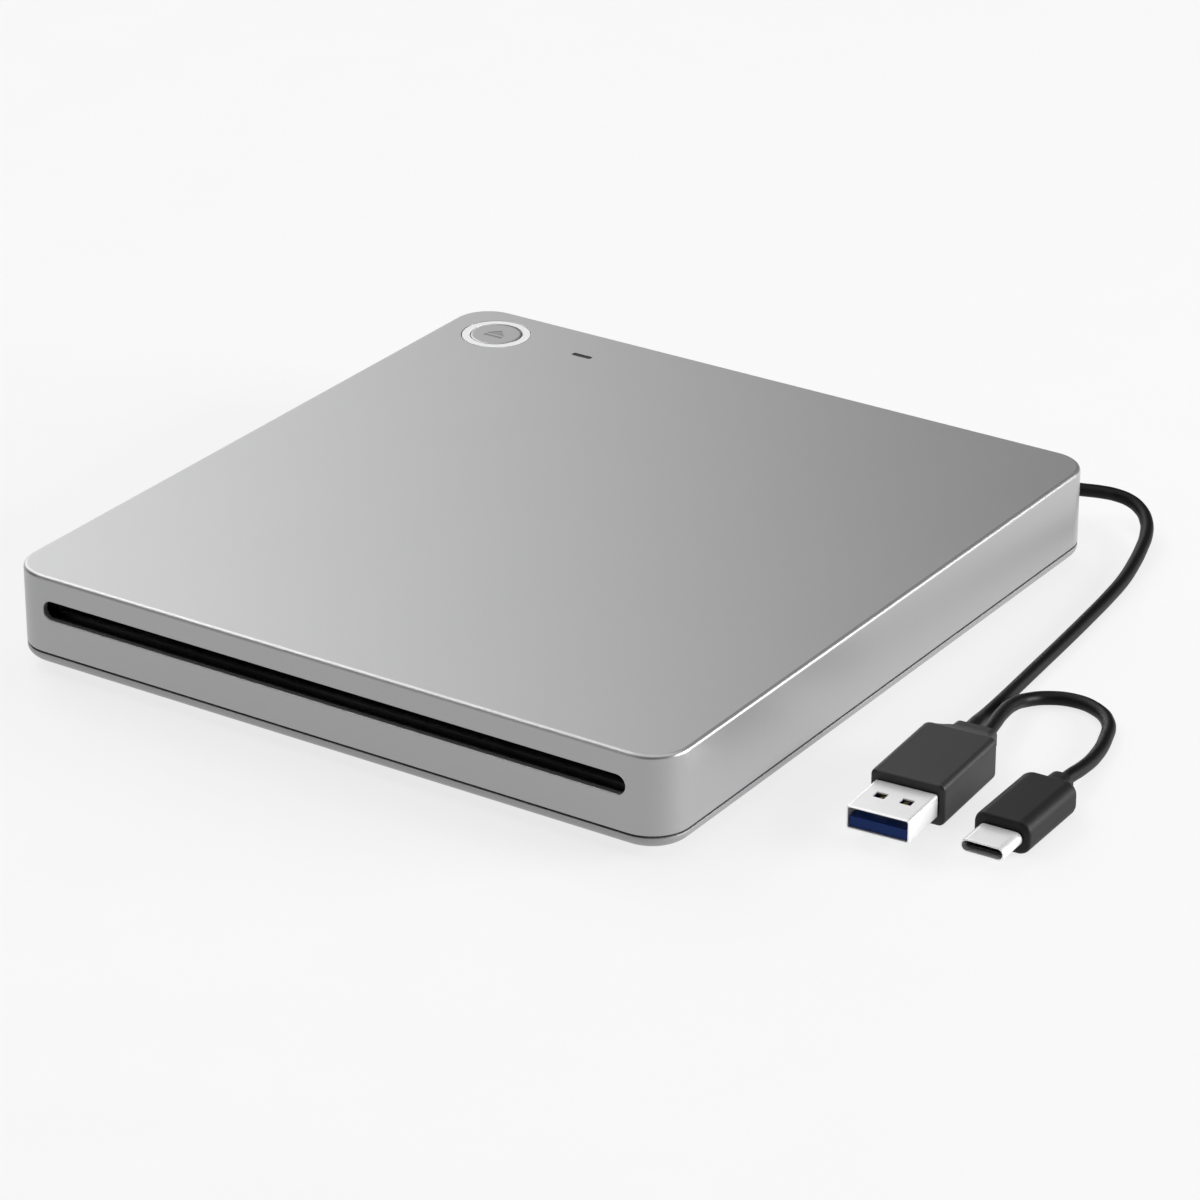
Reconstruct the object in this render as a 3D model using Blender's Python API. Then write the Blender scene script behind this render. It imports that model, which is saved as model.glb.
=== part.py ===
"""External slot-load optical drive: case, eject button, slot-in mechanism and two-in-one USB lead.

All lengths are written in millimetres and turned into Blender's metres by MM as each mesh is made.
The disc slot faces -Y, the flat top is +Z, and the feet stand on z = 0 with the case centred on x = y = 0.
"""

import math

import bmesh
import bpy
from mathutils import Matrix, Vector

MM = 0.001
GAP = 0.3                     # between pieces that touch on the real object
RUNNING = 0.05                # radial clearance of a shaft in its hole

# Case
WIDTH = 142.0
DEPTH = 150.0
HEIGHT = 20.0
FOOT_HEIGHT = 1.4
CORNER = 7.6
TOP_FILLET = 0.8
WALL = 1.2
BASE_ROUND = 2.6              # height of the curve under the base's lower edge
BASE_SPREAD = 5.0             # how far that curve runs in under the base
BASE_TOP = 4.4                # the base's outer edge ends here
SEAM = 0.35                   # shadow gap between base and cover
LIP = 0.8
LIP_TOP = 6.1
CEILING = HEIGHT - WALL
FLOOR = FOOT_HEIGHT + WALL
OVERLAP = 0.2                 # how far fused shapes run into each other
HALF_W = WIDTH / 2
HALF_D = DEPTH / 2

# Disc slot
SLOT_WIDTH = 126.0
SLOT_HEIGHT = 4.1
SLOT_Z = 13.4

# Eject button and status light, behind the drive at the back left
BUTTON = (-59.1, 64.1)
RING_RADIUS = 6.9
RING_INNER = 5.3
BUTTON_RADIUS = 5.15
STEM_RADIUS = 1.8
PLUNGER_RADIUS = 1.6
FLANGE_RADIUS = 8.2           # the ring's flange under the cover
FLANGE_Z = (17.5, 18.5)
LIGHT = (-38.5, 64.1)
LIGHT_SIZE = (4.4, 1.0)
LIGHT_GAP = 0.13
FELT = (1.2, 2.0)             # thickness and height of the strips beside the slot

# Boards behind the drive
BOARD_Z = (6.0, 7.0)
BOARD_LOW = (-65.5, 60.3)
BOARD_HIGH = (65.5, 70.4)
BOARD_POSTS = ((-45.0, 66.5), (30.0, 66.5))
REAR_CHIPS = (                # two corners and the height of each
    ((-20.0, 62.0), (-10.0, 69.0), 0.9),
    ((4.0, 63.5), (9.0, 68.5), 0.7),
    ((20.0, 62.0), (34.0, 67.0), 2.5),
)
COMPONENT_Z = (7.3, 10.8)     # the switch and the cable's connector on the board

# Fasteners and feet, mirrored left to right
SCREW_X = 66.8
SCREW_YS = (-58.0, 50.0)
FOOT_X = 56.0
FOOT_YS = (-61.0, 61.0)
FOOT_RADIUS = 4.6
HEAD_RADIUS = 1.7
HEAD_Z = (1.9, 2.6)           # the case screws' heads, sunk in the base
SHANK_RADIUS = 0.95
BOSS_RADIUS = 2.4

# Slot-in mechanism, a 128 x 129 mm slim drive
DRIVE_HALF = 64.0
DRIVE_FRONT = -70.0
DRIVE_BACK = 59.0
SHEET = 0.8
CHASSIS_Z = 4.0
CHASSIS_TOP = 15.5
MOUTH_Z = 10.9                # the tray's front wall stops here, below the disc
PLATE_Z = 15.8
DRIVE_SCREW_X = 58.0
DRIVE_SCREW_YS = (-64.0, 53.0)
SPINDLE = (0.0, -6.0)
CAM_TRAVEL = 15.0
LIFT = 3.4                    # rise of the traverse over the cam's travel

# Loading gears: a rack on the cam slider, a compound gear and a worm
RACK_MODULE = 0.5
PINION_TEETH = 12
WORM_MODULE = 0.4
WHEEL_TEETH = 20
RACK_LINE = 35.7              # x of the rack's pitch line
PINION_PITCH = RACK_MODULE * PINION_TEETH / 2
WHEEL_PITCH = WORM_MODULE * WHEEL_TEETH / 2
GEAR_X = RACK_LINE + PINION_PITCH
GEAR_Y = 10.0
WORM_PITCH = 2.0
WORM_X = GEAR_X + WHEEL_PITCH + WORM_PITCH
WORM_Z = 8.1
GEAR_POST = 0.9
RACK_BACKLASH = 0.16
WORM_BACKLASH = 0.22

# Traverse: guide rods, sled and lead screw
ROD_X = 19.0
ROD_Z = 6.8
ROD_RADIUS = 1.2
SCREW_LINE = (26.5, 6.2)      # x and z of the lead screw
SCREW_THREAD = 3.0            # lead of its thread
LENS_Y = 18.0
PIN_YS = (-14.0, 24.0)
PIN_Z = 6.4
PIN_RADIUS = 0.7
RAIL_X = 33.2

# Disc arms, mirrored left to right
ARM_PIVOT = (56.0, 8.0)
ARM_PEG = (61.6, -45.4)
ARM_Z = 9.6
ARM_POST = 1.2
PEG_RADIUS = 0.7
ROLLER_PROFILE = ((1.4, 11.6), (1.4, 12.6), (1.05, 13.3), (1.05, 13.8), (1.4, 14.5), (1.4, 15.2))

# Lead
CORD_DIAMETER = 2.6
EXIT = (57.5, 8.0)            # x and z of the cable's hole in the back
CABLE_HOLE = 2.5
PLUG_A = (94.9, -25.5)
PLUG_A_YAW = 4.0
PLUG_C = (114.5, -27.8)
PLUG_C_YAW = 1.5
CABLE_ROUTE = (
    (57.5, 81.3, 7.9), (57.8, 83.4, 7.8), (59.3, 85.6, 7.5), (62.0, 87.6, 7.0),
    (65.0, 89.9, 6.4), (67.4, 91.6, 5.7), (70.0, 92.2, 5.0), (72.9, 91.2, 4.2),
    (75.7, 88.4, 3.4), (77.8, 84.5, 2.7), (79.6, 79.0, 2.1), (81.1, 73.3, 1.7),
    (82.5, 66.8, 1.4), (83.8, 58.0, 1.35), (84.8, 49.0, 1.35), (85.9, 37.7, 1.35),
    (87.2, 22.8, 1.35), (88.3, 10.0, 1.35), (89.2, 2.0, 1.8), (90.6, -4.2, 3.2),
    (91.8, -8.9, 4.1),
)
BRANCH_ROUTE = (
    (95.3, -8.8, 4.1), (94.4, -4.5, 4.1), (93.1, 1.0, 3.7), (92.2, 6.5, 2.9),
    (92.4, 11.2, 1.9), (94.8, 15.0, 1.4), (99.0, 16.7, 1.35), (103.7, 16.0, 1.35),
    (108.2, 12.6, 1.35), (111.2, 6.0, 1.35), (112.9, -1.0, 1.5), (113.8, -7.5, 2.3),
    (114.1, -12.0, 3.0), (114.2, -14.6, 3.2),
)

# name: (colour, metallic, roughness)
FINISHES = {
    "silver_cover": ((0.62, 0.62, 0.63), 0.85, 0.38),
    "silver_base": ((0.60, 0.60, 0.61), 0.80, 0.42),
    "white_ring": ((0.86, 0.86, 0.86), 0.0, 0.35),
    "black_rubber": ((0.03, 0.03, 0.03), 0.0, 0.75),
    "black_felt": ((0.012, 0.012, 0.012), 0.0, 0.95),
    "black_plastic": ((0.02, 0.02, 0.022), 0.0, 0.45),
    "smoked_plastic": ((0.02, 0.02, 0.02), 0.0, 0.2),
    "cable_jacket": ((0.018, 0.018, 0.02), 0.0, 0.5),
    "nickel": ((0.75, 0.75, 0.76), 1.0, 0.25),
    "screw_steel": ((0.45, 0.45, 0.46), 1.0, 0.35),
    "blue_plastic": ((0.02, 0.09, 0.38), 0.0, 0.45),
    "zinc_sheet": ((0.55, 0.56, 0.57), 1.0, 0.45),
    "ground_steel": ((0.70, 0.70, 0.70), 1.0, 0.18),
    "grey_plastic": ((0.22, 0.22, 0.23), 0.0, 0.55),
    "white_plastic": ((0.75, 0.74, 0.70), 0.0, 0.45),
    "circuit_board": ((0.02, 0.16, 0.08), 0.0, 0.4),
    "lens_glass": ((0.25, 0.30, 0.45), 0.0, 0.05),
    "ribbon": ((0.80, 0.78, 0.70), 0.0, 0.4),
}


# ---------------------------------------------------------------- helpers

def clear_scene():
    for obj in list(bpy.data.objects):
        bpy.data.objects.remove(obj, do_unlink=True)


def material(name):
    """The named finish as a Principled material, made once."""
    if name in bpy.data.materials:
        return bpy.data.materials[name]
    colour, metallic, roughness = FINISHES[name]
    made = bpy.data.materials.new(name)
    made.use_nodes = True
    shader = made.node_tree.nodes["Principled BSDF"]
    shader.inputs["Base Color"].default_value = (*colour, 1.0)
    shader.inputs["Metallic"].default_value = metallic
    shader.inputs["Roughness"].default_value = roughness
    made.diffuse_color = (*colour, 1.0)
    return made


def place(name, bm, finish=None, origin=(0, 0, 0), parent=None):
    """One object from a bmesh in millimetres, its origin at a given point. With no finish it is a helper."""
    bmesh.ops.recalc_face_normals(bm, faces=bm.faces)
    bm.transform(Matrix.Translation(-Vector(origin)))
    bm.transform(Matrix.Scale(MM, 4))
    mesh = bpy.data.meshes.new(name)
    bm.to_mesh(mesh)
    bm.free()
    obj = bpy.data.objects.new(name, mesh)
    obj.location = Vector(origin) * MM
    obj.parent = parent
    bpy.context.scene.collection.objects.link(obj)
    if finish is None:
        obj.hide_render = True
        obj.display_type = "WIRE"
    else:
        mesh.materials.append(material(finish))
        mesh.shade_smooth()
        mesh.set_sharp_from_angle(angle=math.radians(32))
    return obj


def empty(name, location, yaw=0.0):
    """A parent on which pieces are placed in their own frame."""
    obj = bpy.data.objects.new(name, None)
    obj.location = Vector(location) * MM
    obj.rotation_euler.z = math.radians(yaw)
    bpy.context.scene.collection.objects.link(obj)
    return obj


def boolean(target, operation, shapes):
    for index, shape in enumerate(shapes):
        helper = place(f"{target.name}_{operation.lower()}_{index}", shape)
        helper.parent = target.parent
        modifier = target.modifiers.new(f"{operation.title()} {index}", "BOOLEAN")
        modifier.operation = operation
        modifier.object = helper
        modifier.solver = "EXACT"


def cut(target, *shapes):
    boolean(target, "DIFFERENCE", shapes)


def fuse(target, *shapes):
    boolean(target, "UNION", shapes)


def loft(rings):
    """A closed solid through rings of equal point count, capped at both ends."""
    bm = bmesh.new()
    rows = [[bm.verts.new(point) for point in ring] for ring in rings]
    count = len(rows[0])
    for first, second in zip(rows, rows[1:]):
        for i in range(count):
            j = (i + 1) % count
            bm.faces.new((first[i], first[j], second[j], second[i]))
    bm.faces.new(rows[0])
    bm.faces.new(rows[-1])
    return bm


def block(low, high):
    ring = [(low[0], low[1]), (high[0], low[1]), (high[0], high[1]), (low[0], high[1])]
    return prism(ring, low[2], high[2])


def prism(outline, bottom, top):
    """An outline in XY, extruded from one height to another."""
    return loft([[(x, y, z) for x, y in outline] for z in (bottom, top)])


def rounded(half_x, half_y, radius, centre=(0.0, 0.0), steps=6):
    """Outline of a rectangle with round corners."""
    points = []
    for corner in range(4):
        start = corner * math.pi / 2
        sign_x = (1, -1, -1, 1)[corner]
        sign_y = (1, 1, -1, -1)[corner]
        for step in range(steps + 1):
            angle = start + step * math.pi / 2 / steps
            x = centre[0] + sign_x * (half_x - radius) + radius * math.cos(angle)
            y = centre[1] + sign_y * (half_y - radius) + radius * math.sin(angle)
            points.append((x, y))
    return points


def circle(radius, centre=(0.0, 0.0), sides=24):
    turn = 2 * math.pi / sides
    return [
        (centre[0] + radius * math.cos(i * turn), centre[1] + radius * math.sin(i * turn))
        for i in range(sides)
    ]


def lay_along(bm, axis, start):
    """Turns a shape made along +Z from the origin so that it runs along +X or +Y from a start point."""
    turns = {"X": Matrix.Rotation(math.pi / 2, 4, "Y"), "Y": Matrix.Rotation(-math.pi / 2, 4, "X")}
    bm.transform(Matrix.Translation(Vector(start)) @ turns[axis])
    return bm


def rod(radius, start, length, axis="Z", sides=24):
    """A cylinder from a start point along an axis."""
    bm = prism(circle(radius, sides=sides), 0.0, length)
    if axis == "Z":
        bm.transform(Matrix.Translation(Vector(start)))
        return bm
    return lay_along(bm, axis, start)


def turned(profile, start, axis="Z", sides=24):
    """A solid of revolution from (radius, height) points, first and last ring capped."""
    bm = loft([[(x, y, height) for x, y in circle(radius, sides=sides)] for radius, height in profile])
    if axis == "Z":
        bm.transform(Matrix.Translation(Vector(start)))
        return bm
    return lay_along(bm, axis, start)


def gear_outline(teeth, module, backlash, centre, first_gap):
    """Straight-flanked teeth, with a gap centred on the angle first_gap."""
    pitch_radius = teeth * module / 2
    tip = pitch_radius + module
    root = pitch_radius - 1.25 * module
    half = math.pi / (2 * teeth) - backlash / (2 * pitch_radius)
    points = []
    for tooth in range(teeth):
        middle = first_gap + (tooth + 0.5) * 2 * math.pi / teeth
        for radius, share in ((root, -1.45), (tip, -0.42), (tip, 0.42), (root, 1.45)):
            angle = middle + share * half
            points.append((centre[0] + radius * math.cos(angle), centre[1] + radius * math.sin(angle)))
    return points


def helical_ridge(base, crest, foot_width, crest_width, lead, turns, start_angle, steps):
    """A right-hand thread's ridge about +Z, from z = 0, starting at start_angle."""
    foot = foot_width / 2
    top = crest_width / 2
    section_points = ((base, -foot), (crest, -top), (crest, top), (base, foot))
    rings = []
    for step in range(int(turns * steps) + 1):
        angle = start_angle + step * 2 * math.pi / steps
        height = step * lead / steps
        rings.append([(r * math.cos(angle), r * math.sin(angle), height + up) for r, up in section_points])
    return loft(rings)


def shell_rings(profile):
    """Rings of the case's plan outline for (inset, height) points."""
    rings = []
    for inset, height in profile:
        outline = rounded(HALF_W - inset, HALF_D - inset, CORNER - inset)
        rings.append([(x, y, height) for x, y in outline])
    return rings


def arc(radius, steps):
    """(across, down) points of a quarter round, from its side to its end."""
    angles = [step * math.pi / 2 / steps for step in range(steps + 1)]
    return [(radius * (1 - math.cos(a)), radius * math.sin(a)) for a in angles]


def mirrored(x, ys):
    """Left and right positions for each y, with names."""
    places = []
    for row, y in zip(("front", "rear"), ys):
        places.append((f"{row}_left", -x, y))
        places.append((f"{row}_right", x, y))
    return places


# ---------------------------------------------------------------- case

def stadium_along_y(width, height, z, front, back):
    outline = rounded(width / 2, height / 2, height / 2 - 0.01)
    rings = [[(x, y, z + up) for x, up in outline] for y in (front, back)]
    return loft(rings)


def make_top_cover():
    edge = [(inset, HEIGHT - TOP_FILLET + up) for inset, up in arc(TOP_FILLET, 2)]
    profile = list(reversed(edge))
    profile += [(0.0, BASE_TOP + SEAM), (WALL, BASE_TOP + SEAM), (WALL, CEILING)]
    cover = place("top_cover", loft(shell_rings(profile)), "silver_cover")
    screws = mirrored(SCREW_X, SCREW_YS)
    foot = LIP_TOP + GAP
    fuse(cover, *[rod(BOSS_RADIUS, (x, y, foot), CEILING + OVERLAP - foot, sides=12) for _, x, y in screws])
    slot = stadium_along_y(SLOT_WIDTH, SLOT_HEIGHT, SLOT_Z, -HALF_D - 1, -HALF_D + WALL + 1)
    button = rod(RING_RADIUS + 0.2, (*BUTTON, CEILING - 1), WALL + 2, sides=32)
    light = light_prism(LIGHT_GAP, CEILING - 1, HEIGHT + 1)
    cable = rod(CABLE_HOLE, (EXIT[0], HALF_D - WALL - 1, EXIT[1]), WALL + 2, "Y")
    threads = [rod(SHANK_RADIUS + GAP, (x, y, LIP_TOP - 1), 9.0, sides=12) for _, x, y in screws]
    cut(cover, slot, button, light, cable, *threads)


def base_profile():
    """The base's section: its lip, its outer edge, and the curve that runs in under it."""
    inside = WALL + GAP + LIP
    outside = WALL + GAP
    profile = [(inside, FLOOR), (inside, LIP_TOP), (outside, LIP_TOP), (outside, BASE_TOP), (0.0, BASE_TOP)]
    for across, down in arc(1.0, 5):
        profile.append((BASE_SPREAD * across, FOOT_HEIGHT + BASE_ROUND * (1 - down)))
    return profile


def make_base_cover():
    base = place("base_cover", loft(shell_rings(base_profile())), "silver_base")
    screws = mirrored(SCREW_X, SCREW_YS)
    drive_screws = mirrored(DRIVE_SCREW_X, DRIVE_SCREW_YS)
    start = FLOOR - OVERLAP
    posts = [rod(BOSS_RADIUS, (x, y, start), LIP_TOP - start, sides=12) for _, x, y in screws]
    posts += [rod(2.5, (x, y, start), CHASSIS_Z - GAP - start, sides=12) for _, x, y in drive_screws]
    posts += [rod(2.0, (x, y, start), BOARD_Z[0] - GAP - start, sides=12) for x, y in BOARD_POSTS]
    fuse(base, *posts)
    notch = block((EXIT[0] - 5, HALF_D - 4, BASE_TOP), (EXIT[0] + 5, HALF_D - WALL - 0.1, LIP_TOP + 1))
    recess = FOOT_HEIGHT + 0.6
    cuts = [notch]
    cuts += [rod(SHANK_RADIUS + GAP, (x, y, 0), LIP_TOP + 1, sides=12) for _, x, y in screws]
    cuts += [rod(HEAD_RADIUS + 0.2, (x, y, 0), HEAD_Z[1] + 0.1, sides=12) for _, x, y in screws]
    cuts += [rod(FOOT_RADIUS + GAP, (x, y, 0), recess) for _, x, y in mirrored(FOOT_X, FOOT_YS)]
    cuts += [rod(SHANK_RADIUS + GAP, (x, y, recess), 5.0, sides=12) for _, x, y in drive_screws]
    cut(base, *cuts)


def make_feet():
    for name, x, y in mirrored(FOOT_X, FOOT_YS):
        profile = [(FOOT_RADIUS - 0.4, 0.0), (FOOT_RADIUS, 0.4), (FOOT_RADIUS, FOOT_HEIGHT + GAP)]
        place(f"foot_{name}", turned(profile, (x, y, 0)), "black_rubber", (x, y, 0))


def make_screw(name, x, y, head_from, head_to, tip):
    """A pan-head screw with a cross recess. Its head's outer face is head_from."""
    profile = [(HEAD_RADIUS, head_from), (HEAD_RADIUS, head_to), (SHANK_RADIUS, head_to), (SHANK_RADIUS, tip)]
    screw = place(name, turned(profile, (x, y, 0), sides=16), "screw_steel", (x, y, 0))
    deep = head_from + 0.6 * (head_to - head_from)
    low, high = sorted((deep, head_from - (head_to - head_from)))
    arms = [block((x - a, y - b, low), (x + a, y + b, high)) for a, b in ((1.0, 0.2), (0.2, 1.0))]
    cut(screw, *arms)


def make_screws():
    for name, x, y in mirrored(SCREW_X, SCREW_YS):
        make_screw(f"case_screw_{name}", x, y, *HEAD_Z, 12.5)
    for name, x, y in mirrored(DRIVE_SCREW_X, DRIVE_SCREW_YS):
        make_screw(f"drive_screw_{name}", x, y, 5.8, 5.1, FOOT_HEIGHT + 0.9)


def make_felt_strips():
    front = -HALF_D + WALL + GAP
    half = SLOT_WIDTH / 2 + 0.5
    thick, high = FELT
    upper = SLOT_Z + SLOT_HEIGHT / 2 + 0.1
    lower = SLOT_Z - SLOT_HEIGHT / 2 - 0.1 - high
    for name, bottom in (("upper_felt_strip", upper), ("lower_felt_strip", lower)):
        place(name, block((-half, front, bottom), (half, front + thick, bottom + high)), "black_felt")


# ---------------------------------------------------------------- eject button, light and rear board

def make_button():
    """The ring, the cap on its stem, and the push switch below, whose plunger moves with the cap."""
    x, y = BUTTON
    low, high = FLANGE_Z
    ring = [(FLANGE_RADIUS, low), (FLANGE_RADIUS, high), (RING_RADIUS, high), (RING_RADIUS, HEIGHT)]
    ring = place("button_ring", turned(ring, (x, y, 0), sides=32), "white_ring")
    cut(ring, rod(RING_INNER, (x, y, low - 1), 6, sides=32))
    cap = [(STEM_RADIUS, 15.3), (STEM_RADIUS, 18.2), (BUTTON_RADIUS, 18.2), (BUTTON_RADIUS, HEIGHT - 0.2),
           (BUTTON_RADIUS - 0.2, HEIGHT)]
    button = place("eject_button", turned(cap, (x, y, 0), sides=32), "silver_cover", (x, y, HEIGHT))
    fuse(button, block((x - 6.6, y - 1.5, 16.4), (x + 6.6, y + 1.5, 17.1)))
    bottom, top = COMPONENT_Z
    switch = place("eject_switch", block((x - 3, y - 3, bottom), (x + 3, y + 3, top)), "black_plastic")
    cut(switch, rod(PLUNGER_RADIUS + RUNNING, (x, y, 8.6), 4, sides=16))
    place("switch_plunger", rod(PLUNGER_RADIUS, (x, y, 9.6), 5.4, sides=16), "grey_plastic", (x, y, 15.0))


def light_prism(gap, bottom, top):
    half_x = LIGHT_SIZE[0] / 2 + gap
    half_y = LIGHT_SIZE[1] / 2 + gap
    return prism(rounded(half_x, half_y, half_y - 0.01, LIGHT, steps=3), bottom, top)


def make_light():
    x, y = LIGHT
    low, high = FLANGE_Z
    pipe = place("light_pipe", light_prism(0.0, 8.8, HEIGHT - 0.1), "smoked_plastic")
    fuse(pipe, block((x - 3.2, y - 1.6, low), (x + 3.2, y + 1.6, high)))
    place("status_led", block((x - 1.6, y - 0.8, COMPONENT_Z[0]), (x + 1.6, y + 0.8, 8.5)), "white_plastic")


def make_rear_board():
    bottom, top = BOARD_Z
    board = place("bridge_board", block((*BOARD_LOW, bottom), (*BOARD_HIGH, top)), "circuit_board")
    fuse(board, *[block((*low, top - 0.1), (*high, top + rise)) for low, high, rise in REAR_CHIPS])
    x, z = EXIT
    low, high = COMPONENT_Z
    place("cable_connector", block((x - 5, 61.6, low), (x + 5, 67.4, high)), "white_plastic")
    place("inner_lead", rod(1.2, (x, 67.7, z + 0.9), 3.1, "Y", sides=12), "cable_jacket")


# ---------------------------------------------------------------- slot-in mechanism

def make_chassis():
    """An open tray of sheet steel, with the posts for the loading gear and the disc arms."""
    low = (-DRIVE_HALF, DRIVE_FRONT, CHASSIS_Z)
    high = (DRIVE_HALF, DRIVE_BACK, CHASSIS_TOP)
    chassis = place("drive_chassis", block(low, high), "zinc_sheet")
    inner_x = DRIVE_HALF - SHEET
    above = CHASSIS_TOP + 1
    inside = block((-inner_x, DRIVE_FRONT + SHEET, CHASSIS_Z + SHEET), (inner_x, DRIVE_BACK - SHEET, above))
    mouth = block((-inner_x, DRIVE_FRONT - 1, MOUTH_Z), (inner_x, DRIVE_FRONT + 2, above))
    window = prism(rounded(32.4, 43.0, 3.0, (0.0, 14.0), steps=3), CHASSIS_Z - 1, CHASSIS_Z + 2)
    ribbon = block((-54, DRIVE_BACK - 2, 6.0), (-45, DRIVE_BACK + 1, 9.0))
    screws = mirrored(DRIVE_SCREW_X, DRIVE_SCREW_YS)
    holes = [rod(SHANK_RADIUS + GAP, (x, y, 0), 8, sides=16) for _, x, y in screws]
    cut(chassis, inside, mouth, window, ribbon, *holes)
    inner = CHASSIS_Z + SHEET - OVERLAP
    posts = [rod(GEAR_POST, (GEAR_X, GEAR_Y, inner), 9.3 - inner, sides=16)]
    for side in (-1, 1):
        pivot = (side * ARM_PIVOT[0], ARM_PIVOT[1], inner)
        posts.append(rod(2.4, pivot, ARM_Z - GAP - inner, sides=16))
        posts.append(rod(ARM_POST, pivot, 10.9 - inner, sides=16))
    fuse(chassis, *posts)


def make_top_plate():
    half_y = (DRIVE_BACK - DRIVE_FRONT) / 2 - 0.2
    middle_y = (DRIVE_BACK + DRIVE_FRONT) / 2
    outline = rounded(DRIVE_HALF - 0.2, half_y, 1.5, (0.0, middle_y), steps=3)
    plate = place("drive_top_plate", prism(outline, PLATE_Z, PLATE_Z + SHEET), "zinc_sheet")
    cut(plate, rod(8.5, (*SPINDLE, PLATE_Z - 1), 3, sides=32))


def make_cam_slider():
    """A U of sheet steel round the traverse, its side rails slotted for the lifting pins."""
    bottom, top = 5.0, 11.3
    front, back = -38.0, 36.0
    outer = RAIL_X + SHEET
    bridge = block((-outer, front, bottom), (outer, front + 6, bottom + 0.5))
    slider = place("cam_slider", bridge, "zinc_sheet", (0, front, bottom))
    rails = [block((x, front, bottom), (x + SHEET, back, top)) for x in (-outer, RAIL_X)]
    fuse(slider, *rails, rack())
    cut(slider, *[slanted_slot(y) for y in PIN_YS])


def slanted_slot(y):
    """A cutter across both rails along the path of one pin."""
    radius = PIN_RADIUS + 0.15
    ends = ((y, PIN_Z), (y - CAM_TRAVEL, PIN_Z + LIFT))
    slope = math.atan2(LIFT, -CAM_TRAVEL)
    outline = []
    for (cy, cz), start in zip(ends, (slope + math.pi / 2, slope - math.pi / 2)):
        for step in range(7):
            angle = start + step * math.pi / 6
            outline.append((cy + radius * math.cos(angle), cz + radius * math.sin(angle)))
    return loft([[(x, cy, cz) for cy, cz in outline] for x in (-RAIL_X - 3, RAIL_X + 3)])


def rack():
    """The rack's teeth on the right rail, one tooth centred on the gear's axis."""
    pitch = math.pi * RACK_MODULE
    front = GEAR_Y - 12.9 * pitch
    back = GEAR_Y + 2.9 * pitch
    inner = RAIL_X + 0.3
    tip = RACK_LINE + RACK_MODULE
    root = RACK_LINE - 1.25 * RACK_MODULE
    thick = pitch / 2 - RACK_BACKLASH
    lean = math.tan(math.radians(20))
    foot = thick / 2 + 1.25 * RACK_MODULE * lean
    crest = thick / 2 - RACK_MODULE * lean
    outline = [(inner, back), (inner, front), (root, front)]
    for tooth in range(-12, 3):
        y = GEAR_Y + tooth * pitch
        outline += [(root, y - foot), (tip, y - crest), (tip, y + crest), (root, y + foot)]
    outline.append((root, back))
    return prism(outline, 5.0, 7.0)


def make_loading_gears():
    centre = (GEAR_X, GEAR_Y)
    pinion = gear_outline(PINION_TEETH, RACK_MODULE, RACK_BACKLASH, centre, math.pi)
    gear = place("loading_gear", prism(pinion, 5.1, 7.4), "white_plastic", (*centre, 5.1))
    wheel = gear_outline(WHEEL_TEETH, WORM_MODULE, WORM_BACKLASH, centre, 0.0)
    fuse(gear, prism(wheel, 7.3, 8.9))
    cut(gear, rod(GEAR_POST + RUNNING, (*centre, 4), 8, sides=16))
    worm_start = GEAR_Y - 2 * math.pi * WORM_MODULE
    core = rod(1.5, (WORM_X, worm_start - 1, WORM_Z), 7.2, "Y", sides=12)
    worm = place("loading_worm", core, "white_plastic", (WORM_X, GEAR_Y, WORM_Z))
    ridge = helical_ridge(1.3, 2.4, 0.62, 0.3, math.pi * WORM_MODULE, 4, math.pi, 12)
    fuse(worm, lay_along(ridge, "Y", (WORM_X, worm_start, WORM_Z)))
    motor = place("loading_motor", rod(3.0, (WORM_X, 15.3, WORM_Z), 15.0, "Y"), "ground_steel")
    cut(motor, rod(3.2, (WORM_X, 10.0, WORM_Z + 5.7), 30, "Y"))


def make_traverse():
    """The lifting frame: guide rod seats, a screw bearing and four pins that ride in the cam's slots."""
    side_x = 31.8
    front, back = -26.0, 57.6
    bottom, top = 6.0, 7.2
    frame = place("traverse_frame", block((-side_x, front, bottom), (side_x, back, top)), "zinc_sheet")
    screw_x, screw_z = SCREW_LINE
    seats = [block((x - 2, y, 5.2), (x + 2, y + 2.0, 8.4)) for y in (4.0, 55.6) for x in (-ROD_X, ROD_X)]
    bearing = block((screw_x - 1.6, 55.6, 4.8), (screw_x + 1.6, back, 7.6))
    opening = block((-23.0, 7.2, 0), (29.4, 55.5, 20))
    spindle_hole = rod(12.0, (*SPINDLE, 0), 20, sides=32)
    motor_gap = block((screw_x - 3.4, -21.0, 0), (screw_x + 2.9, 8.0, 20))
    cut(frame, opening, spindle_hole, motor_gap)
    fuse(frame, *seats, bearing, *pins())
    bores = [rod(ROD_RADIUS + RUNNING, (x, 0, ROD_Z), 60, "Y", sides=16) for x in (-ROD_X, ROD_X)]
    cut(frame, *bores, rod(0.6, (screw_x, 50, screw_z), 10, "Y", sides=12))


def pins():
    """The four pins at the frame's sides, two in each rail of the cam slider."""
    starts = [(x, y, PIN_Z) for y in PIN_YS for x in (-34.6, 30.6)]
    return [rod(PIN_RADIUS, start, 4.0, "X", sides=12) for start in starts]


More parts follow.
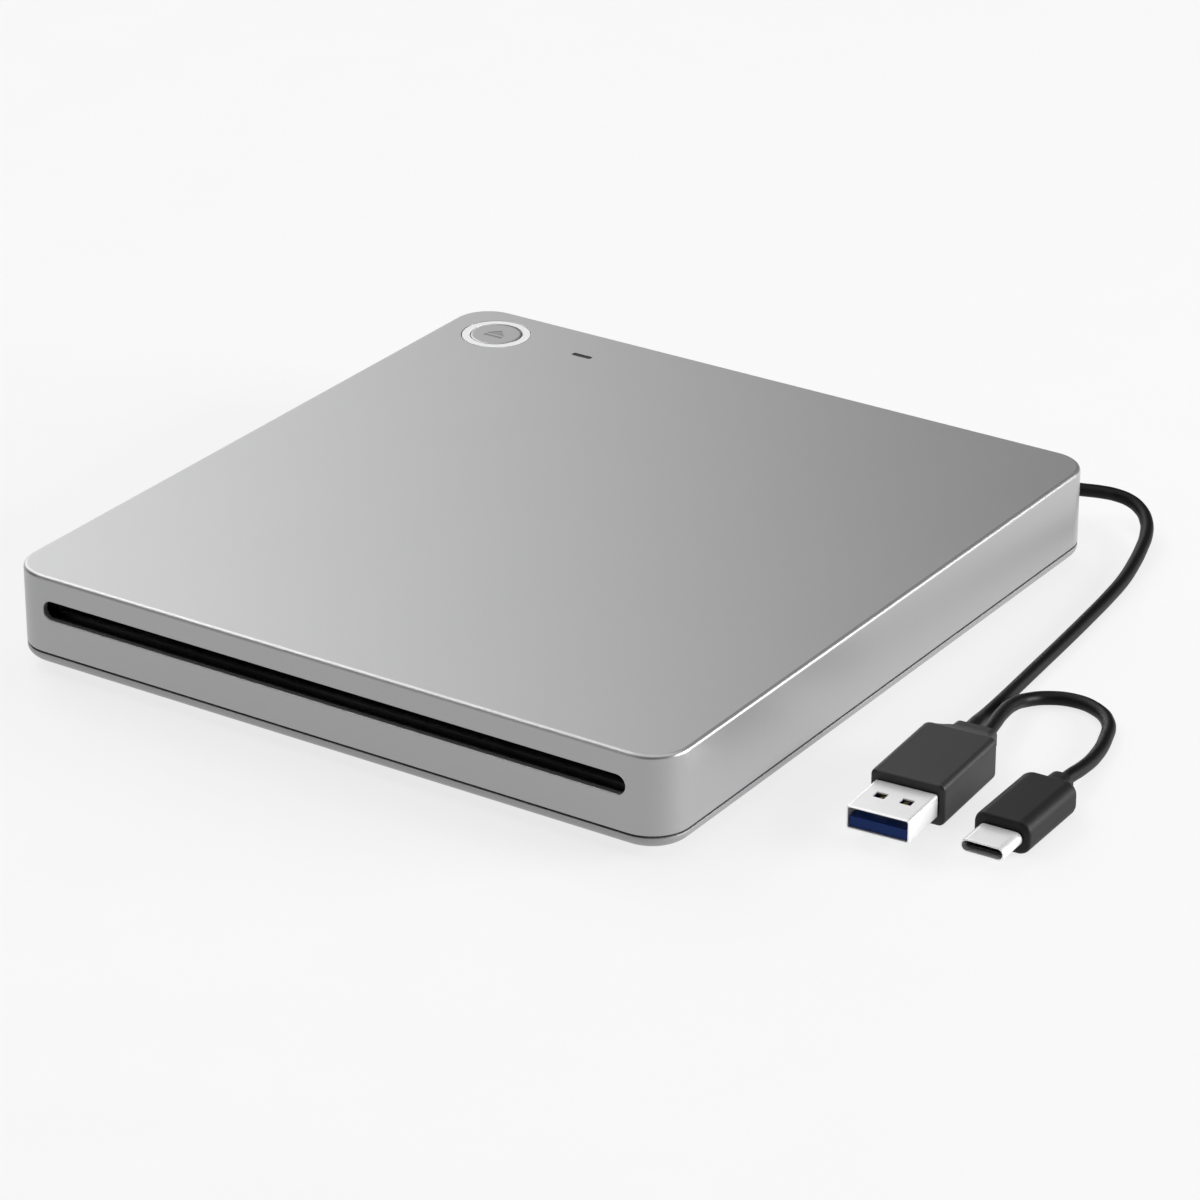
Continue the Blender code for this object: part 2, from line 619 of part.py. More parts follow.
def make_spindle():
    motor = [(13.6, 3.3), (13.6, 4.0), (5.0, 4.0), (5.0, 6.4)]
    place("spindle_motor", turned(motor, (*SPINDLE, 0), sides=32), "ground_steel")
    table = [(11.2, 4.4), (11.2, 7.6), (14.0, 8.6), (14.0, 9.55), (7.4, 9.55), (7.4, 10.6), (6.4, 11.45)]
    turntable = place("turntable", turned(table, (*SPINDLE, 0), sides=32), "black_plastic", (*SPINDLE, 9.55))
    cut(turntable, turned([(10.2, 3.0), (10.2, 7.0)], (*SPINDLE, 0), sides=32))


def make_sled():
    """The carriage with its nut on the lead screw, the lens in its well, and the two guide rods."""
    sled = place("pickup_sled", block((-22, 7.5, 5.2), (22, 23.2, 8.4)), "zinc_sheet", (0, LENS_Y, 6.8))
    fuse(sled, block((21.5, 10, 4.7), (28.9, 16, 7.7)))
    x, z = SCREW_LINE
    bores = [rod(ROD_RADIUS + RUNNING, (side * ROD_X, 0, ROD_Z), 40, "Y", sides=16) for side in (-1, 1)]
    nut = rod(1.45, (x, 0, z), 40, "Y", sides=12)
    well = rod(2.7, (0, LENS_Y, 6.6), 4)
    pocket = block((-14, 10, 7.8), (-5, 14, 9))
    cut(sled, *bores, nut, well, pocket)
    lens = [(2.3, 7.2), (2.3, 8.2), (1.6, 8.6)]
    place("objective_lens", turned(lens, (0, LENS_Y, 0)), "lens_glass", (0, LENS_Y, 8.6))
    for side, name in ((-1, "left"), (1, "right")):
        guide = rod(ROD_RADIUS, (side * ROD_X, 4.2, ROD_Z), 53.2, "Y", sides=16)
        place(f"guide_rod_{name}", guide, "ground_steel")


def make_lead_screw():
    x, z = SCREW_LINE
    start = -6.2
    body = turned([(0.85, 0.0), (0.85, 60.0), (0.5, 60.0), (0.5, 63.0)], (x, start, z), "Y", sides=8)
    screw = place("lead_screw", body, "ground_steel", (x, 0, z))
    ridge = helical_ridge(0.7, 1.25, 0.9, 0.5, SCREW_THREAD, 15, 0.0, 6)
    fuse(screw, lay_along(ridge, "Y", (x, 6.0, z)))
    motor = place("sled_motor", rod(2.7, (x, -20.0, z), 13.3, "Y"), "ground_steel")
    flats = [block((x - 4, -21, low), (x + 4, 0, low + 1.7)) for low in (z + 2.3, z - 4.0)]
    cut(motor, *flats)


def arm_outline(side):
    """A tapered link from the pivot to the roller's peg."""
    pivot = Vector((side * ARM_PIVOT[0], ARM_PIVOT[1]))
    peg = Vector((side * ARM_PEG[0], ARM_PEG[1]))
    along = (peg - pivot).normalized()
    heading = math.atan2(along.y, along.x)
    outline = []
    for centre, radius, start in ((peg, 1.3, heading - math.pi / 2), (pivot, 3.4, heading + math.pi / 2)):
        for step in range(9):
            angle = start + step * math.pi / 8
            outline.append((centre.x + radius * math.cos(angle), centre.y + radius * math.sin(angle)))
    return outline


def make_arms():
    for side, name in ((-1, "left"), (1, "right")):
        pivot = (side * ARM_PIVOT[0], ARM_PIVOT[1])
        peg = (side * ARM_PEG[0], ARM_PEG[1])
        link = prism(arm_outline(side), ARM_Z, ARM_Z + SHEET)
        arm = place(f"{name}_disc_arm", link, "zinc_sheet", (*pivot, ARM_Z))
        fuse(arm, rod(PEG_RADIUS, (*peg, ARM_Z + 0.1), 5.6, sides=12))
        cut(arm, rod(ARM_POST + RUNNING, (*pivot, ARM_Z - 1), 3, sides=16))
        roller = turned(ROLLER_PROFILE, (*peg, 0), sides=16)
        roller = place(f"{name}_arm_roller", roller, "white_plastic", (*peg, 13.5))
        cut(roller, rod(PEG_RADIUS + RUNNING, (*peg, 10), 8, sides=12))


def make_drive_board():
    board = place("main_board", block((-61, 14, 5.3), (-36.5, 50, 6.3)), "circuit_board")
    fuse(board, block((-57, 28, 6.2), (-45, 40, 7.4)), block((-58, 18, 6.2), (-51, 24, 7.2)))
    lower = [(42.5, 6.6), (56.8, 6.6), (60.8, 7.3), (64.8, 7.3)]
    upper = [(64.8, 7.6), (60.7, 7.6), (56.7, 6.9), (42.5, 6.9)]
    ribbon = loft([[(x, y, z) for y, z in lower + upper] for x in (-53.0, -46.0)])
    place("ribbon_cable", ribbon, "ribbon")


# ---------------------------------------------------------------- lead

def cord(name, route):
    """A round cord along a smooth curve through the route's points."""
    points = [Vector(p) for p in route]
    points = [2 * points[0] - points[1]] + points + [2 * points[-1] - points[-2]]
    path = []
    for a, b, c, d in zip(points, points[1:], points[2:], points[3:]):
        pieces = max(1, round((c - b).length / (2.2 * CORD_DIAMETER)))
        for step in range(pieces):
            path.append(catmull_rom(a, b, c, d, step / pieces))
    path.append(points[-2])
    curve = bpy.data.curves.new(name, "CURVE")
    curve.dimensions = "3D"
    curve.bevel_depth = CORD_DIAMETER / 2 * MM
    curve.bevel_resolution = 2
    curve.use_fill_caps = True
    spline = curve.splines.new("POLY")
    spline.points.add(len(path) - 1)
    for point, place_mm in zip(spline.points, path):
        point.co = (*(place_mm * MM), 1.0)
    curve.materials.append(material("cable_jacket"))
    obj = bpy.data.objects.new(name, curve)
    bpy.context.scene.collection.objects.link(obj)


def catmull_rom(a, b, c, d, t):
    """The point a share t of the way from b to c."""
    square = 2 * a - 5 * b + 4 * c - d
    cube = 3 * b - a - 3 * c + d
    return 0.5 * (2 * b + (c - a) * t + square * t * t + cube * t ** 3)


def make_boot():
    x, z = EXIT
    inner = [(3.6, 71.3), (3.6, 73.4), (2.3, 73.4)]
    outer = [(2.3, 75.3), (3.1, 75.3), (3.1, 76.2), (2.5, 76.6), (1.9, 81.0)]
    profile = inner + outer
    place("cable_boot", turned(profile, (x, 0, z), "Y"), "black_rubber")


def section(half_x, half_z, radius, y, middle, steps=3):
    """A rounded cross-section of a plug at one y."""
    return [(x, y, middle + up) for x, up in rounded(half_x, half_z, radius, steps=steps)]


def make_usb_a():
    frame = empty("usb_a_frame", (*PLUG_A, 0), PLUG_A_YAW)
    middle = 4.15
    body = [(6.6, 3.5, 1.0, -11.4), (7.1, 4.0, 1.2, -10.8), (7.1, 4.0, 1.2, 9.2), (6.4, 3.5, 1.1, 10.2),
            (4.6, 2.6, 1.2, 13.0), (4.1, 2.1, 1.2, 16.2)]
    rings = [section(a, b, r, y, middle) for a, b, r, y in body]
    place("usb_a_housing", loft(rings), "black_plastic", parent=frame)
    tube = loft([section(6.0, 2.25, 0.5, y, middle) for y in (-22.6, -11.7)])
    shell = place("usb_a_shell", tube, "nickel", parent=frame)
    hollow = loft([section(5.7, 1.95, 0.35, y, middle) for y in (-24.0, -12.1)])
    windows = [block((x - 1.15, -17.6, middle), (x + 1.15, -15.6, middle + 4)) for x in (-2.5, 2.5)]
    cut(shell, hollow, *windows)
    tongue = block((-5.5, -22.2, middle - 1.75), (5.5, -12.4, middle + 0.15))
    place("usb_a_tongue", tongue, "blue_plastic", parent=frame)


def make_usb_c():
    frame = empty("usb_c_frame", (*PLUG_C, 0), PLUG_C_YAW)
    middle = 3.25
    body = [(4.9, 2.7, 2.0, -10.0), (5.4, 3.2, 2.3, -9.4), (5.4, 3.2, 2.3, 7.4), (4.8, 2.8, 2.0, 8.2),
            (2.6, 2.1, 1.8, 9.0), (2.3, 1.9, 1.7, 12.6)]
    rings = [section(a, b, r, y, middle) for a, b, r, y in body]
    place("usb_c_housing", loft(rings), "black_plastic", parent=frame)
    tube = loft([section(4.17, 1.28, 1.27, y, middle) for y in (-16.9, -10.3)])
    shell = place("usb_c_shell", tube, "nickel", parent=frame)
    cut(shell, loft([section(3.87, 0.98, 0.97, y, middle) for y in (-18.0, -10.8)]))
    insert = loft([section(3.6, 0.7, 0.69, y, middle) for y in (-15.6, -11.1)])
    place("usb_c_insert", insert, "black_plastic", parent=frame)


def main():
    clear_scene()
    make_top_cover()
    make_base_cover()
    make_feet()
    make_screws()
    make_felt_strips()
    make_button()
    make_light()
    make_rear_board()
    make_chassis()
    make_top_plate()
    make_cam_slider()
    make_loading_gears()
    make_traverse()
    make_spindle()
    make_sled()
    make_lead_screw()
    make_arms()
    make_drive_board()
    make_boot()
    cord("usb_cable", CABLE_ROUTE)
    cord("usb_c_lead", BRANCH_ROUTE)
    make_usb_a()
    make_usb_c()


main()
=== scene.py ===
"""Looks of the external slot-load optical drive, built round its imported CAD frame.

Lengths in the shape code are millimetres, turned into metres as each mesh is made.
The disc slot faces -Y, the flat top is +Z and the feet stand on z = 0.
"""

import math  # noqa: E402
import random  # noqa: E402

import bmesh  # noqa: E402
import bpy  # noqa: E402
from mathutils import Matrix, Vector  # noqa: E402


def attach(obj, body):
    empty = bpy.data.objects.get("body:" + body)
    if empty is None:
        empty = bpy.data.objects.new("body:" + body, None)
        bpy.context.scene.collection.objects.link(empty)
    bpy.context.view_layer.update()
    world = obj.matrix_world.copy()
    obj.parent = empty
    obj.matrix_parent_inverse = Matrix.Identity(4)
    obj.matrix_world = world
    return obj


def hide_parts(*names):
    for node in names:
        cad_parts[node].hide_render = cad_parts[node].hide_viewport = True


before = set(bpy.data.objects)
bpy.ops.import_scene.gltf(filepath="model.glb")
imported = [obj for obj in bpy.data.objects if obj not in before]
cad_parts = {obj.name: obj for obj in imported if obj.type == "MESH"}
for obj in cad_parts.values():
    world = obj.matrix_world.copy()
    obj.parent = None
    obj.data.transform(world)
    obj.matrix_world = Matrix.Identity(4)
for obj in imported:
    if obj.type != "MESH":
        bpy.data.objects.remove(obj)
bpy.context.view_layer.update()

MM = 0.001
GAP = 0.3        # between pieces that touch on the real object
RUNNING = 0.05   # radial clearance of a shaft in its hole
OVERLAP = 0.2    # how far fused shapes run into each other
SHARP_ANGLE = math.radians(35.0)

# Case
HEIGHT = 20.0
FOOT_HEIGHT = 1.4
CORNER = 7.6
TOP_FILLET = 0.8
WALL = 1.2
BASE_ROUND = 2.6
BASE_SPREAD = 5.0
BASE_TOP = 4.4
SEAM = 0.35
LIP = 0.8
LIP_TOP = 6.1
CEILING = HEIGHT - WALL
FLOOR = FOOT_HEIGHT + WALL
HALF_W = 71.0
HALF_D = 75.0

# Slot, button, light and cable hole
SLOT_WIDTH = 126.0
SLOT_HEIGHT = 4.1
SLOT_Z = 13.4
FIBRES = 1500   # short ones on each felt strip
BUTTON = (-59.1, 64.1)
RING_RADIUS = 6.9
RING_INNER = 5.3
BUTTON_RADIUS = 5.15
LIGHT = (-38.5, 64.1)
LIGHT_SIZE = (4.4, 1.0)
LIGHT_GAP = 0.13
FLANGE_Z = (17.5, 18.5)
EXIT = (57.5, 8.0)
CABLE_HOLE = 2.5

# Fasteners and feet
SCREWS = [(row, side, sign * 66.8, y) for row, y in (("front", -58.0), ("rear", 50.0))
          for side, sign in (("left", -1), ("right", 1))]
DRIVE_SCREWS = [(sign * 58.0, y) for y in (-64.0, 53.0) for sign in (-1, 1)]
FEET = [(row, side, sign * 56.0, y) for row, y in (("front", -61.0), ("rear", 61.0))
        for side, sign in (("left", -1), ("right", 1))]
FOOT_RADIUS = 4.6
HEAD_RADIUS = 1.7
HEAD_Z = (1.9, 2.6)
SHANK_RADIUS = 0.95
THREAD_END = 11.6
THREAD_PITCH = 0.4
BOSS_RADIUS = 2.4

# Inside: the two boards, the turntable, the sled and the drive's lid
BOARD_TOP = 7.0
DRIVE_BOARD_TOP = 6.3
LEAD_PITCH = 0.8         # of the chips' leads
SPINDLE = (0.0, -6.0)
LENS_Y = 18.0
ROD_X, ROD_Z, ROD_RADIUS = 19.0, 6.8, 1.2
SCREW_LINE = (26.5, 6.2)
DRIVE_HALF = 64.0
DRIVE_FRONT, DRIVE_BACK = -70.0, 59.0
PLATE_Z = 15.8
SHEET = 0.8
LOADING_MOTOR = (44.7, 15.3, 8.1)
SLED_MOTOR = (SCREW_LINE[0], -20.0, SCREW_LINE[1])
BOARD_POSTS = ((-45.0, 66.5), (30.0, 66.5))
ROD_START, ROD_LENGTH = 4.2, 53.2

# Plugs: (x, y, height of the middle, yaw in degrees)
PLUG_A = (94.9, -25.5, 4.15, 4.0)
PLUG_C = (114.5, -27.8, 3.25, 1.5)

# Cords, in metres
CORD_DIAMETER = 0.0026
CABLE_ROUTE = (
    (0.0575, 0.0813, 0.0079), (0.0578, 0.0834, 0.0078), (0.0593, 0.0856, 0.0075), (0.0620, 0.0876, 0.0070),
    (0.0650, 0.0899, 0.0064), (0.0674, 0.0916, 0.0057), (0.0700, 0.0922, 0.0050), (0.0729, 0.0912, 0.0042),
    (0.0757, 0.0884, 0.0034), (0.0778, 0.0845, 0.0027), (0.0796, 0.0790, 0.0021), (0.0811, 0.0733, 0.0017),
    (0.0825, 0.0668, 0.0014), (0.0838, 0.0580, 0.00135), (0.0848, 0.0490, 0.00135), (0.0859, 0.0377, 0.00135),
    (0.0872, 0.0228, 0.00135), (0.0883, 0.0100, 0.00135), (0.0892, 0.0020, 0.0018), (0.0906, -0.0042, 0.0032),
    (0.0918, -0.0089, 0.0041),
)
BRANCH_ROUTE = (
    (0.0953, -0.0088, 0.0041), (0.0944, -0.0045, 0.0041), (0.0931, 0.0010, 0.0037), (0.0922, 0.0065, 0.0029),
    (0.0924, 0.0112, 0.0019), (0.0948, 0.0150, 0.0014), (0.0990, 0.0167, 0.00135), (0.1037, 0.0160, 0.00135),
    (0.1082, 0.0126, 0.00135), (0.1112, 0.0060, 0.00135), (0.1129, -0.0010, 0.0015), (0.1138, -0.0075, 0.0023),
    (0.1141, -0.0120, 0.0030), (0.1142, -0.0146, 0.0032),
)


# ---------------------------------------------------------------- camera, floor and light

LEFT_WINDOW = (-0.790, 0.437, 0.431)   # towards the brightest part of the surroundings


def make_camera():
    target = Vector((5.122, 4.716, 1.4)) * MM
    azimuth, elevation = math.radians(33.47), math.radians(25.49)
    distance = 0.94222
    back = Vector((
        math.sin(azimuth) * math.cos(elevation), -math.cos(azimuth) * math.cos(elevation), math.sin(elevation),
    ))
    data = bpy.data.cameras.new("camera")
    data.lens = 151.24
    data.sensor_width = 36.0
    data.clip_start = 0.01
    data.clip_end = 20.0
    camera = bpy.data.objects.new("camera", data)
    camera.location = target + back * distance
    camera.rotation_mode = "QUATERNION"
    camera.rotation_quaternion = (-back).to_track_quat("-Z", "Y")
    bpy.context.scene.collection.objects.link(camera)
    bpy.context.scene.camera = camera


def area_light(name, location, aim, size, power):
    data = bpy.data.lights.new(name, "AREA")
    data.shape = "RECTANGLE"
    data.size, data.size_y = size
    data.energy = power
    light = bpy.data.objects.new(name, data)
    light.location = location
    light.rotation_mode = "QUATERNION"
    light.rotation_quaternion = (Vector(aim) - Vector(location)).to_track_quat("-Z", "Y")
    bpy.context.scene.collection.objects.link(light)


def studio_world():
    """Surroundings that are brightest towards the left, as beside a large window, and a pale backdrop."""
    world = bpy.data.worlds.new("studio")
    world.use_nodes = True
    nodes, links = world.node_tree.nodes, world.node_tree.links
    where = nodes.new("ShaderNodeTexCoord")
    facing = nodes.new("ShaderNodeVectorMath")
    facing.operation = "DOT_PRODUCT"
    facing.inputs[1].default_value = LEFT_WINDOW
    links.new(where.outputs["Generated"], facing.inputs[0])
    level = nodes.new("ShaderNodeMapRange")
    level.inputs["From Min"].default_value = 0.86
    level.inputs["From Max"].default_value = 0.98
    level.inputs["To Min"].default_value = 0.0
    level.inputs["To Max"].default_value = 2.68
    links.new(facing.outputs["Value"], level.inputs["Value"])
    links.new(level.outputs["Result"], nodes["Background"].inputs["Strength"])
    nodes["Background"].inputs["Color"].default_value = (1.0, 1.0, 1.0, 1.0)
    backdrop = nodes.new("ShaderNodeBackground")
    backdrop.inputs["Color"].default_value = (0.92, 0.92, 0.92, 1.0)
    seen = nodes.new("ShaderNodeLightPath")
    choice = nodes.new("ShaderNodeMixShader")
    links.new(seen.outputs["Is Camera Ray"], choice.inputs[0])
    links.new(nodes["Background"].outputs["Background"], choice.inputs[1])
    links.new(backdrop.outputs["Background"], choice.inputs[2])
    links.new(choice.outputs["Shader"], nodes["World Output"].inputs["Surface"])
    return world


def make_studio():
    bpy.context.scene.world = studio_world()
    bpy.context.scene.view_settings.view_transform = "Standard"
    area_light("overhead", (-0.15, 0.0, 1.1), (-0.15, 0.0, 0.0), (1.9, 1.4), 10.8)
    area_light("right_panel", (1.30, 0.65, 0.40), (0.0, 0.0, 0.0), (1.0, 0.6), 31.3)
    area_light("front_fill", (-0.45, -1.3, 0.45), (0.0, -0.05, 0.0), (1.2, 0.6), 1.8)
    area_light("top_strip", (-0.70, -0.10, 0.98), (0.0, 0.0, 0.0), (1.5, 0.10), 2.6)
    bm = bmesh.new()
    bmesh.ops.create_grid(bm, x_segments=8, y_segments=8, size=4.0)
    mesh = bpy.data.meshes.new("floor")
    bm.to_mesh(mesh)
    bm.free()
    floor = bpy.data.objects.new("floor", mesh)
    bpy.context.scene.collection.objects.link(floor)
    glow = {"Emission_Color": (1.0, 1.0, 1.0, 1.0), "Emission_Strength": 0.76}
    mesh.materials.append(finish("backlit_floor", (0.13, 0.13, 0.13), 0.0, 0.9, grain=900.0, bump=0.02, **glow))


# ---------------------------------------------------------------- materials

def finish(name, colour, metallic, roughness, grain=2500.0, bump=0.05, depth=0.00002, spread=0.04, shade=0.04,
           **direct):
    """A Principled material with fine noise in its colour, roughness and bump. direct sets other sockets."""
    if name in bpy.data.materials:
        return bpy.data.materials[name]
    made = bpy.data.materials.new(name)
    made.use_nodes = True
    nodes, links = made.node_tree.nodes, made.node_tree.links
    shader = nodes["Principled BSDF"]
    shader.inputs["Metallic"].default_value = metallic
    for socket, value in direct.items():
        shader.inputs[socket.replace("_", " ")].default_value = value
    where = nodes.new("ShaderNodeTexCoord")
    fine = nodes.new("ShaderNodeTexNoise")
    fine.inputs["Scale"].default_value = grain
    fine.inputs["Detail"].default_value = 3.0
    broad = nodes.new("ShaderNodeTexNoise")
    broad.inputs["Scale"].default_value = 45.0
    broad.inputs["Detail"].default_value = 2.0
    for noise in (fine, broad):
        links.new(where.outputs["Object"], noise.inputs["Vector"])
    tint = nodes.new("ShaderNodeMix")
    tint.data_type = "RGBA"
    tint.inputs[6].default_value = (*[c * (1 - shade) for c in colour], 1.0)
    tint.inputs[7].default_value = (*[min(1.0, c * (1 + shade)) for c in colour], 1.0)
    links.new(fine.outputs["Fac"], tint.inputs[0])
    links.new(tint.outputs[2], shader.inputs["Base Color"])
    rough = nodes.new("ShaderNodeMapRange")
    rough.inputs["From Min"].default_value = 0.3
    rough.inputs["From Max"].default_value = 0.7
    rough.inputs["To Min"].default_value = max(0.02, roughness - spread)
    rough.inputs["To Max"].default_value = min(1.0, roughness + spread)
    links.new(broad.outputs["Fac"], rough.inputs["Value"])
    links.new(rough.outputs["Result"], shader.inputs["Roughness"])
    relief = nodes.new("ShaderNodeBump")
    relief.inputs["Strength"].default_value = bump
    relief.inputs["Distance"].default_value = depth
    links.new(fine.outputs["Fac"], relief.inputs["Height"])
    links.new(relief.outputs["Normal"], shader.inputs["Normal"])
    return made


FINISHES = {
    "cover": dict(colour=(0.39, 0.39, 0.395), metallic=0.72, roughness=0.34, grain=5200.0, bump=0.25, spread=0.006,
                  shade=0.04),
    "base": dict(colour=(0.33, 0.33, 0.335), metallic=0.6, roughness=0.42, grain=4200.0, bump=0.25, spread=0.006,
                 shade=0.04),
    "cap": dict(colour=(0.35, 0.35, 0.355), metallic=0.72, roughness=0.36, grain=5200.0, bump=0.25, spread=0.006,
                shade=0.04),
    "ring": dict(colour=(0.68, 0.68, 0.68), metallic=0.0, roughness=0.32, grain=900.0, bump=0.02),
    "feet": dict(colour=(0.03, 0.03, 0.03), metallic=0.0, roughness=0.78, grain=1800.0, bump=0.3, shade=0.15),
    "boot": dict(colour=(0.022, 0.022, 0.024), metallic=0.0, roughness=0.55, grain=2400.0, bump=0.2, shade=0.15),
    "felt": dict(colour=(0.003, 0.003, 0.003), metallic=0.0, roughness=0.95, grain=3000.0, bump=0.9, depth=0.0001,
                 shade=0.5),
    "black": dict(colour=(0.014, 0.014, 0.015), metallic=0.0, roughness=0.5, grain=3200.0, bump=0.25, shade=0.12,
                  Specular_IOR_Level=0.35),
    "smoked": dict(colour=(0.004, 0.004, 0.0045), metallic=0.0, roughness=0.3, grain=900.0, bump=0.01,
                   Specular_IOR_Level=0.2),
    # dark: the black plug plastic again, darker and with lower specular: painted shade that holds down the
    # overhead highlight on the rounder USB-C body
    "dark": dict(colour=(0.009, 0.009, 0.0095), metallic=0.0, roughness=0.5, grain=3200.0, bump=0.25, shade=0.12,
                 Specular_IOR_Level=0.2),
    "jacket": dict(colour=(0.0035, 0.0035, 0.004), metallic=0.0, roughness=0.46, grain=1500.0, bump=0.12,
                   shade=0.15, Specular_IOR_Level=0.16),
    "nickel": dict(colour=(0.93, 0.93, 0.935), metallic=0.55, roughness=0.32, grain=2600.0, bump=0.06),
    "screws": dict(colour=(0.42, 0.42, 0.44), metallic=1.0, roughness=0.34, grain=2600.0, bump=0.1, shade=0.1),
    "blue": dict(colour=(0.001, 0.020, 0.125), metallic=0.0, roughness=0.45, grain=1800.0, bump=0.06,
                 Specular_IOR_Level=0.15),
    "sheet": dict(colour=(0.55, 0.56, 0.57), metallic=1.0, roughness=0.42, grain=700.0, bump=0.15, shade=0.12),
    "shaft": dict(colour=(0.68, 0.68, 0.68), metallic=1.0, roughness=0.2, grain=1600.0, bump=0.05),
    "grey": dict(colour=(0.22, 0.22, 0.23), metallic=0.0, roughness=0.55, grain=1800.0, bump=0.15),
    "white": dict(colour=(0.75, 0.74, 0.70), metallic=0.0, roughness=0.42, grain=1800.0, bump=0.08),
    "board": dict(colour=(0.012, 0.11, 0.05), metallic=0.0, roughness=0.36, grain=500.0, bump=0.08, shade=0.18),
    "lens": dict(colour=(0.20, 0.26, 0.42), metallic=0.1, roughness=0.05, grain=900.0, bump=0.005),
    "ribbon": dict(colour=(0.80, 0.78, 0.70), metallic=0.0, roughness=0.4, grain=900.0, bump=0.05),
    "gold": dict(colour=(0.83, 0.60, 0.23), metallic=1.0, roughness=0.25, grain=2600.0, bump=0.03),
    "recess": dict(colour=(0.25, 0.25, 0.255), metallic=0.6, roughness=0.5, grain=5200.0, bump=0.15),
}


def look(name):
    return finish("look_" + name, **FINISHES[name])


# ---------------------------------------------------------------- shape helpers

def loft(rings):
    """A closed solid through rings of equal point count, capped at both ends."""
    bm = bmesh.new()
    rows = [[bm.verts.new(point) for point in ring] for ring in rings]
    count = len(rows[0])
    for first, second in zip(rows, rows[1:]):
        for i in range(count):
            j = (i + 1) % count
            bm.faces.new((first[i], first[j], second[j], second[i]))
    bm.faces.new(rows[0])
    bm.faces.new(rows[-1])
    return bm


def prism(outline, bottom, top):
    return loft([[(x, y, z) for x, y in outline] for z in (bottom, top)])


def block(low, high):
    return prism([(low[0], low[1]), (high[0], low[1]), (high[0], high[1]), (low[0], high[1])], low[2], high[2])


def rounded(half_x, half_y, radius, centre=(0.0, 0.0), *, steps):
    """Outline of a rectangle with round corners, each of the given number of steps."""
    points = []
    for corner in range(4):
        start = corner * math.pi / 2
        sign_x = (1, -1, -1, 1)[corner]
        sign_y = (1, 1, -1, -1)[corner]
        for step in range(steps + 1):
            angle = start + step * math.pi / 2 / steps
            points.append((
                centre[0] + sign_x * (half_x - radius) + radius * math.cos(angle),
                centre[1] + sign_y * (half_y - radius) + radius * math.sin(angle),
            ))
    return points


def circle(radius, sides):
    return [(radius * math.cos(i * 2 * math.pi / sides), radius * math.sin(i * 2 * math.pi / sides))
            for i in range(sides)]


def turned(profile, start, axis="Z", *, sides):
    """A solid of revolution from (radius, height) points along an axis from a start point."""
    bm = loft([[(x, y, height) for x, y in circle(radius, sides)] for radius, height in profile])
    turn = Matrix.Rotation(-math.pi / 2, 4, "X") if axis == "Y" else Matrix.Identity(4)
    bm.transform(Matrix.Translation(Vector(start)) @ turn)
    return bm


def rod(radius, start, length, axis="Z", sides=32):
    return turned([(radius, 0.0), (radius, length)], start, axis, sides=sides)


def arc(radius, steps):
    """(across, down) points of a quarter round, from its side to its end."""
    angles = [step * math.pi / 2 / steps for step in range(steps + 1)]
    return [(radius * (1 - math.cos(a)), radius * math.sin(a)) for a in angles]


def shell_rings(profile):
    """Rings of the case's plan outline for (inset, height) points."""
    return [[(x, y, height) for x, y in rounded(HALF_W - inset, HALF_D - inset, CORNER - inset, steps=14)]
            for inset, height in profile]


def raw_object(name, bm):
    bmesh.ops.recalc_face_normals(bm, faces=bm.faces)
    bm.transform(Matrix.Scale(MM, 4))
    mesh = bpy.data.meshes.new(name)
    bm.to_mesh(mesh)
    bm.free()
    obj = bpy.data.objects.new(name, mesh)
    bpy.context.scene.collection.objects.link(obj)
    return obj


def combine(obj, operation, shapes):
    """Applies Boolean operations with the given bmeshes."""
    for shape in shapes:
        helper = raw_object("helper", shape)
        modifier = obj.modifiers.new("shape", "BOOLEAN")
        modifier.operation = operation
        modifier.object = helper
        modifier.solver = "EXACT"
        bpy.context.view_layer.update()
        evaluated = obj.evaluated_get(bpy.context.evaluated_depsgraph_get())
        mesh = bpy.data.meshes.new_from_object(evaluated)
        obj.modifiers.clear()
        old, obj.data = obj.data, mesh
        bpy.data.meshes.remove(old)
        bpy.data.objects.remove(helper, do_unlink=True)


def piece(name, bm, look_name, body, replaces=(), cuts=(), fuses=(), plug=None):
    """A finished visible piece: shaped, smoothed, given its look and fixed to its CAD body."""
    obj = raw_object(name, bm)
    combine(obj, "UNION", fuses)
    combine(obj, "DIFFERENCE", cuts)
    if plug is not None:
        x, y, _, yaw = plug
        obj.data.transform(Matrix.Translation(Vector((x, y, 0)) * MM) @ Matrix.Rotation(math.radians(yaw), 4, "Z"))
    obj.data.materials.clear()
    obj.data.materials.append(look(look_name))
    obj.data.shade_smooth()
    obj.data.set_sharp_from_angle(angle=SHARP_ANGLE)
    weighted = obj.modifiers.new("Weighted Normal", "WEIGHTED_NORMAL")
    weighted.keep_sharp = True
    weighted.weight = 80
    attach(obj, body)
    if replaces:
        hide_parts(*replaces)
    return obj


# ---------------------------------------------------------------- case

def slot_cutter():
    """The disc slot with a small round lip at its mouth."""
    rings = []
    for grow, y in ((0.35, -HALF_D - 0.3), (0.20, -HALF_D), (0.11, -HALF_D + 0.04), (0.045, -HALF_D + 0.10),
                    (0.01, -HALF_D + 0.17), (0.0, -HALF_D + 0.25), (0.0, -HALF_D + WALL + 1.0)):
        half_z = SLOT_HEIGHT / 2 - 0.2 + grow
        outline = rounded(SLOT_WIDTH / 2 - 0.2 + grow, half_z, half_z - 0.005, steps=16)
        rings.append([(x, y, SLOT_Z + up) for x, up in outline])
    return loft(rings)


def round_hole(radius, x, y, from_z):
    """A hole through the top wall with a slightly broken edge."""
    profile = [(radius, from_z), (radius, HEIGHT - 0.12), (radius + 0.03, HEIGHT - 0.04), (radius + 0.1, HEIGHT),
               (radius + 0.5, HEIGHT + 0.4)]
    return turned(profile, (x, y, 0), sides=96)


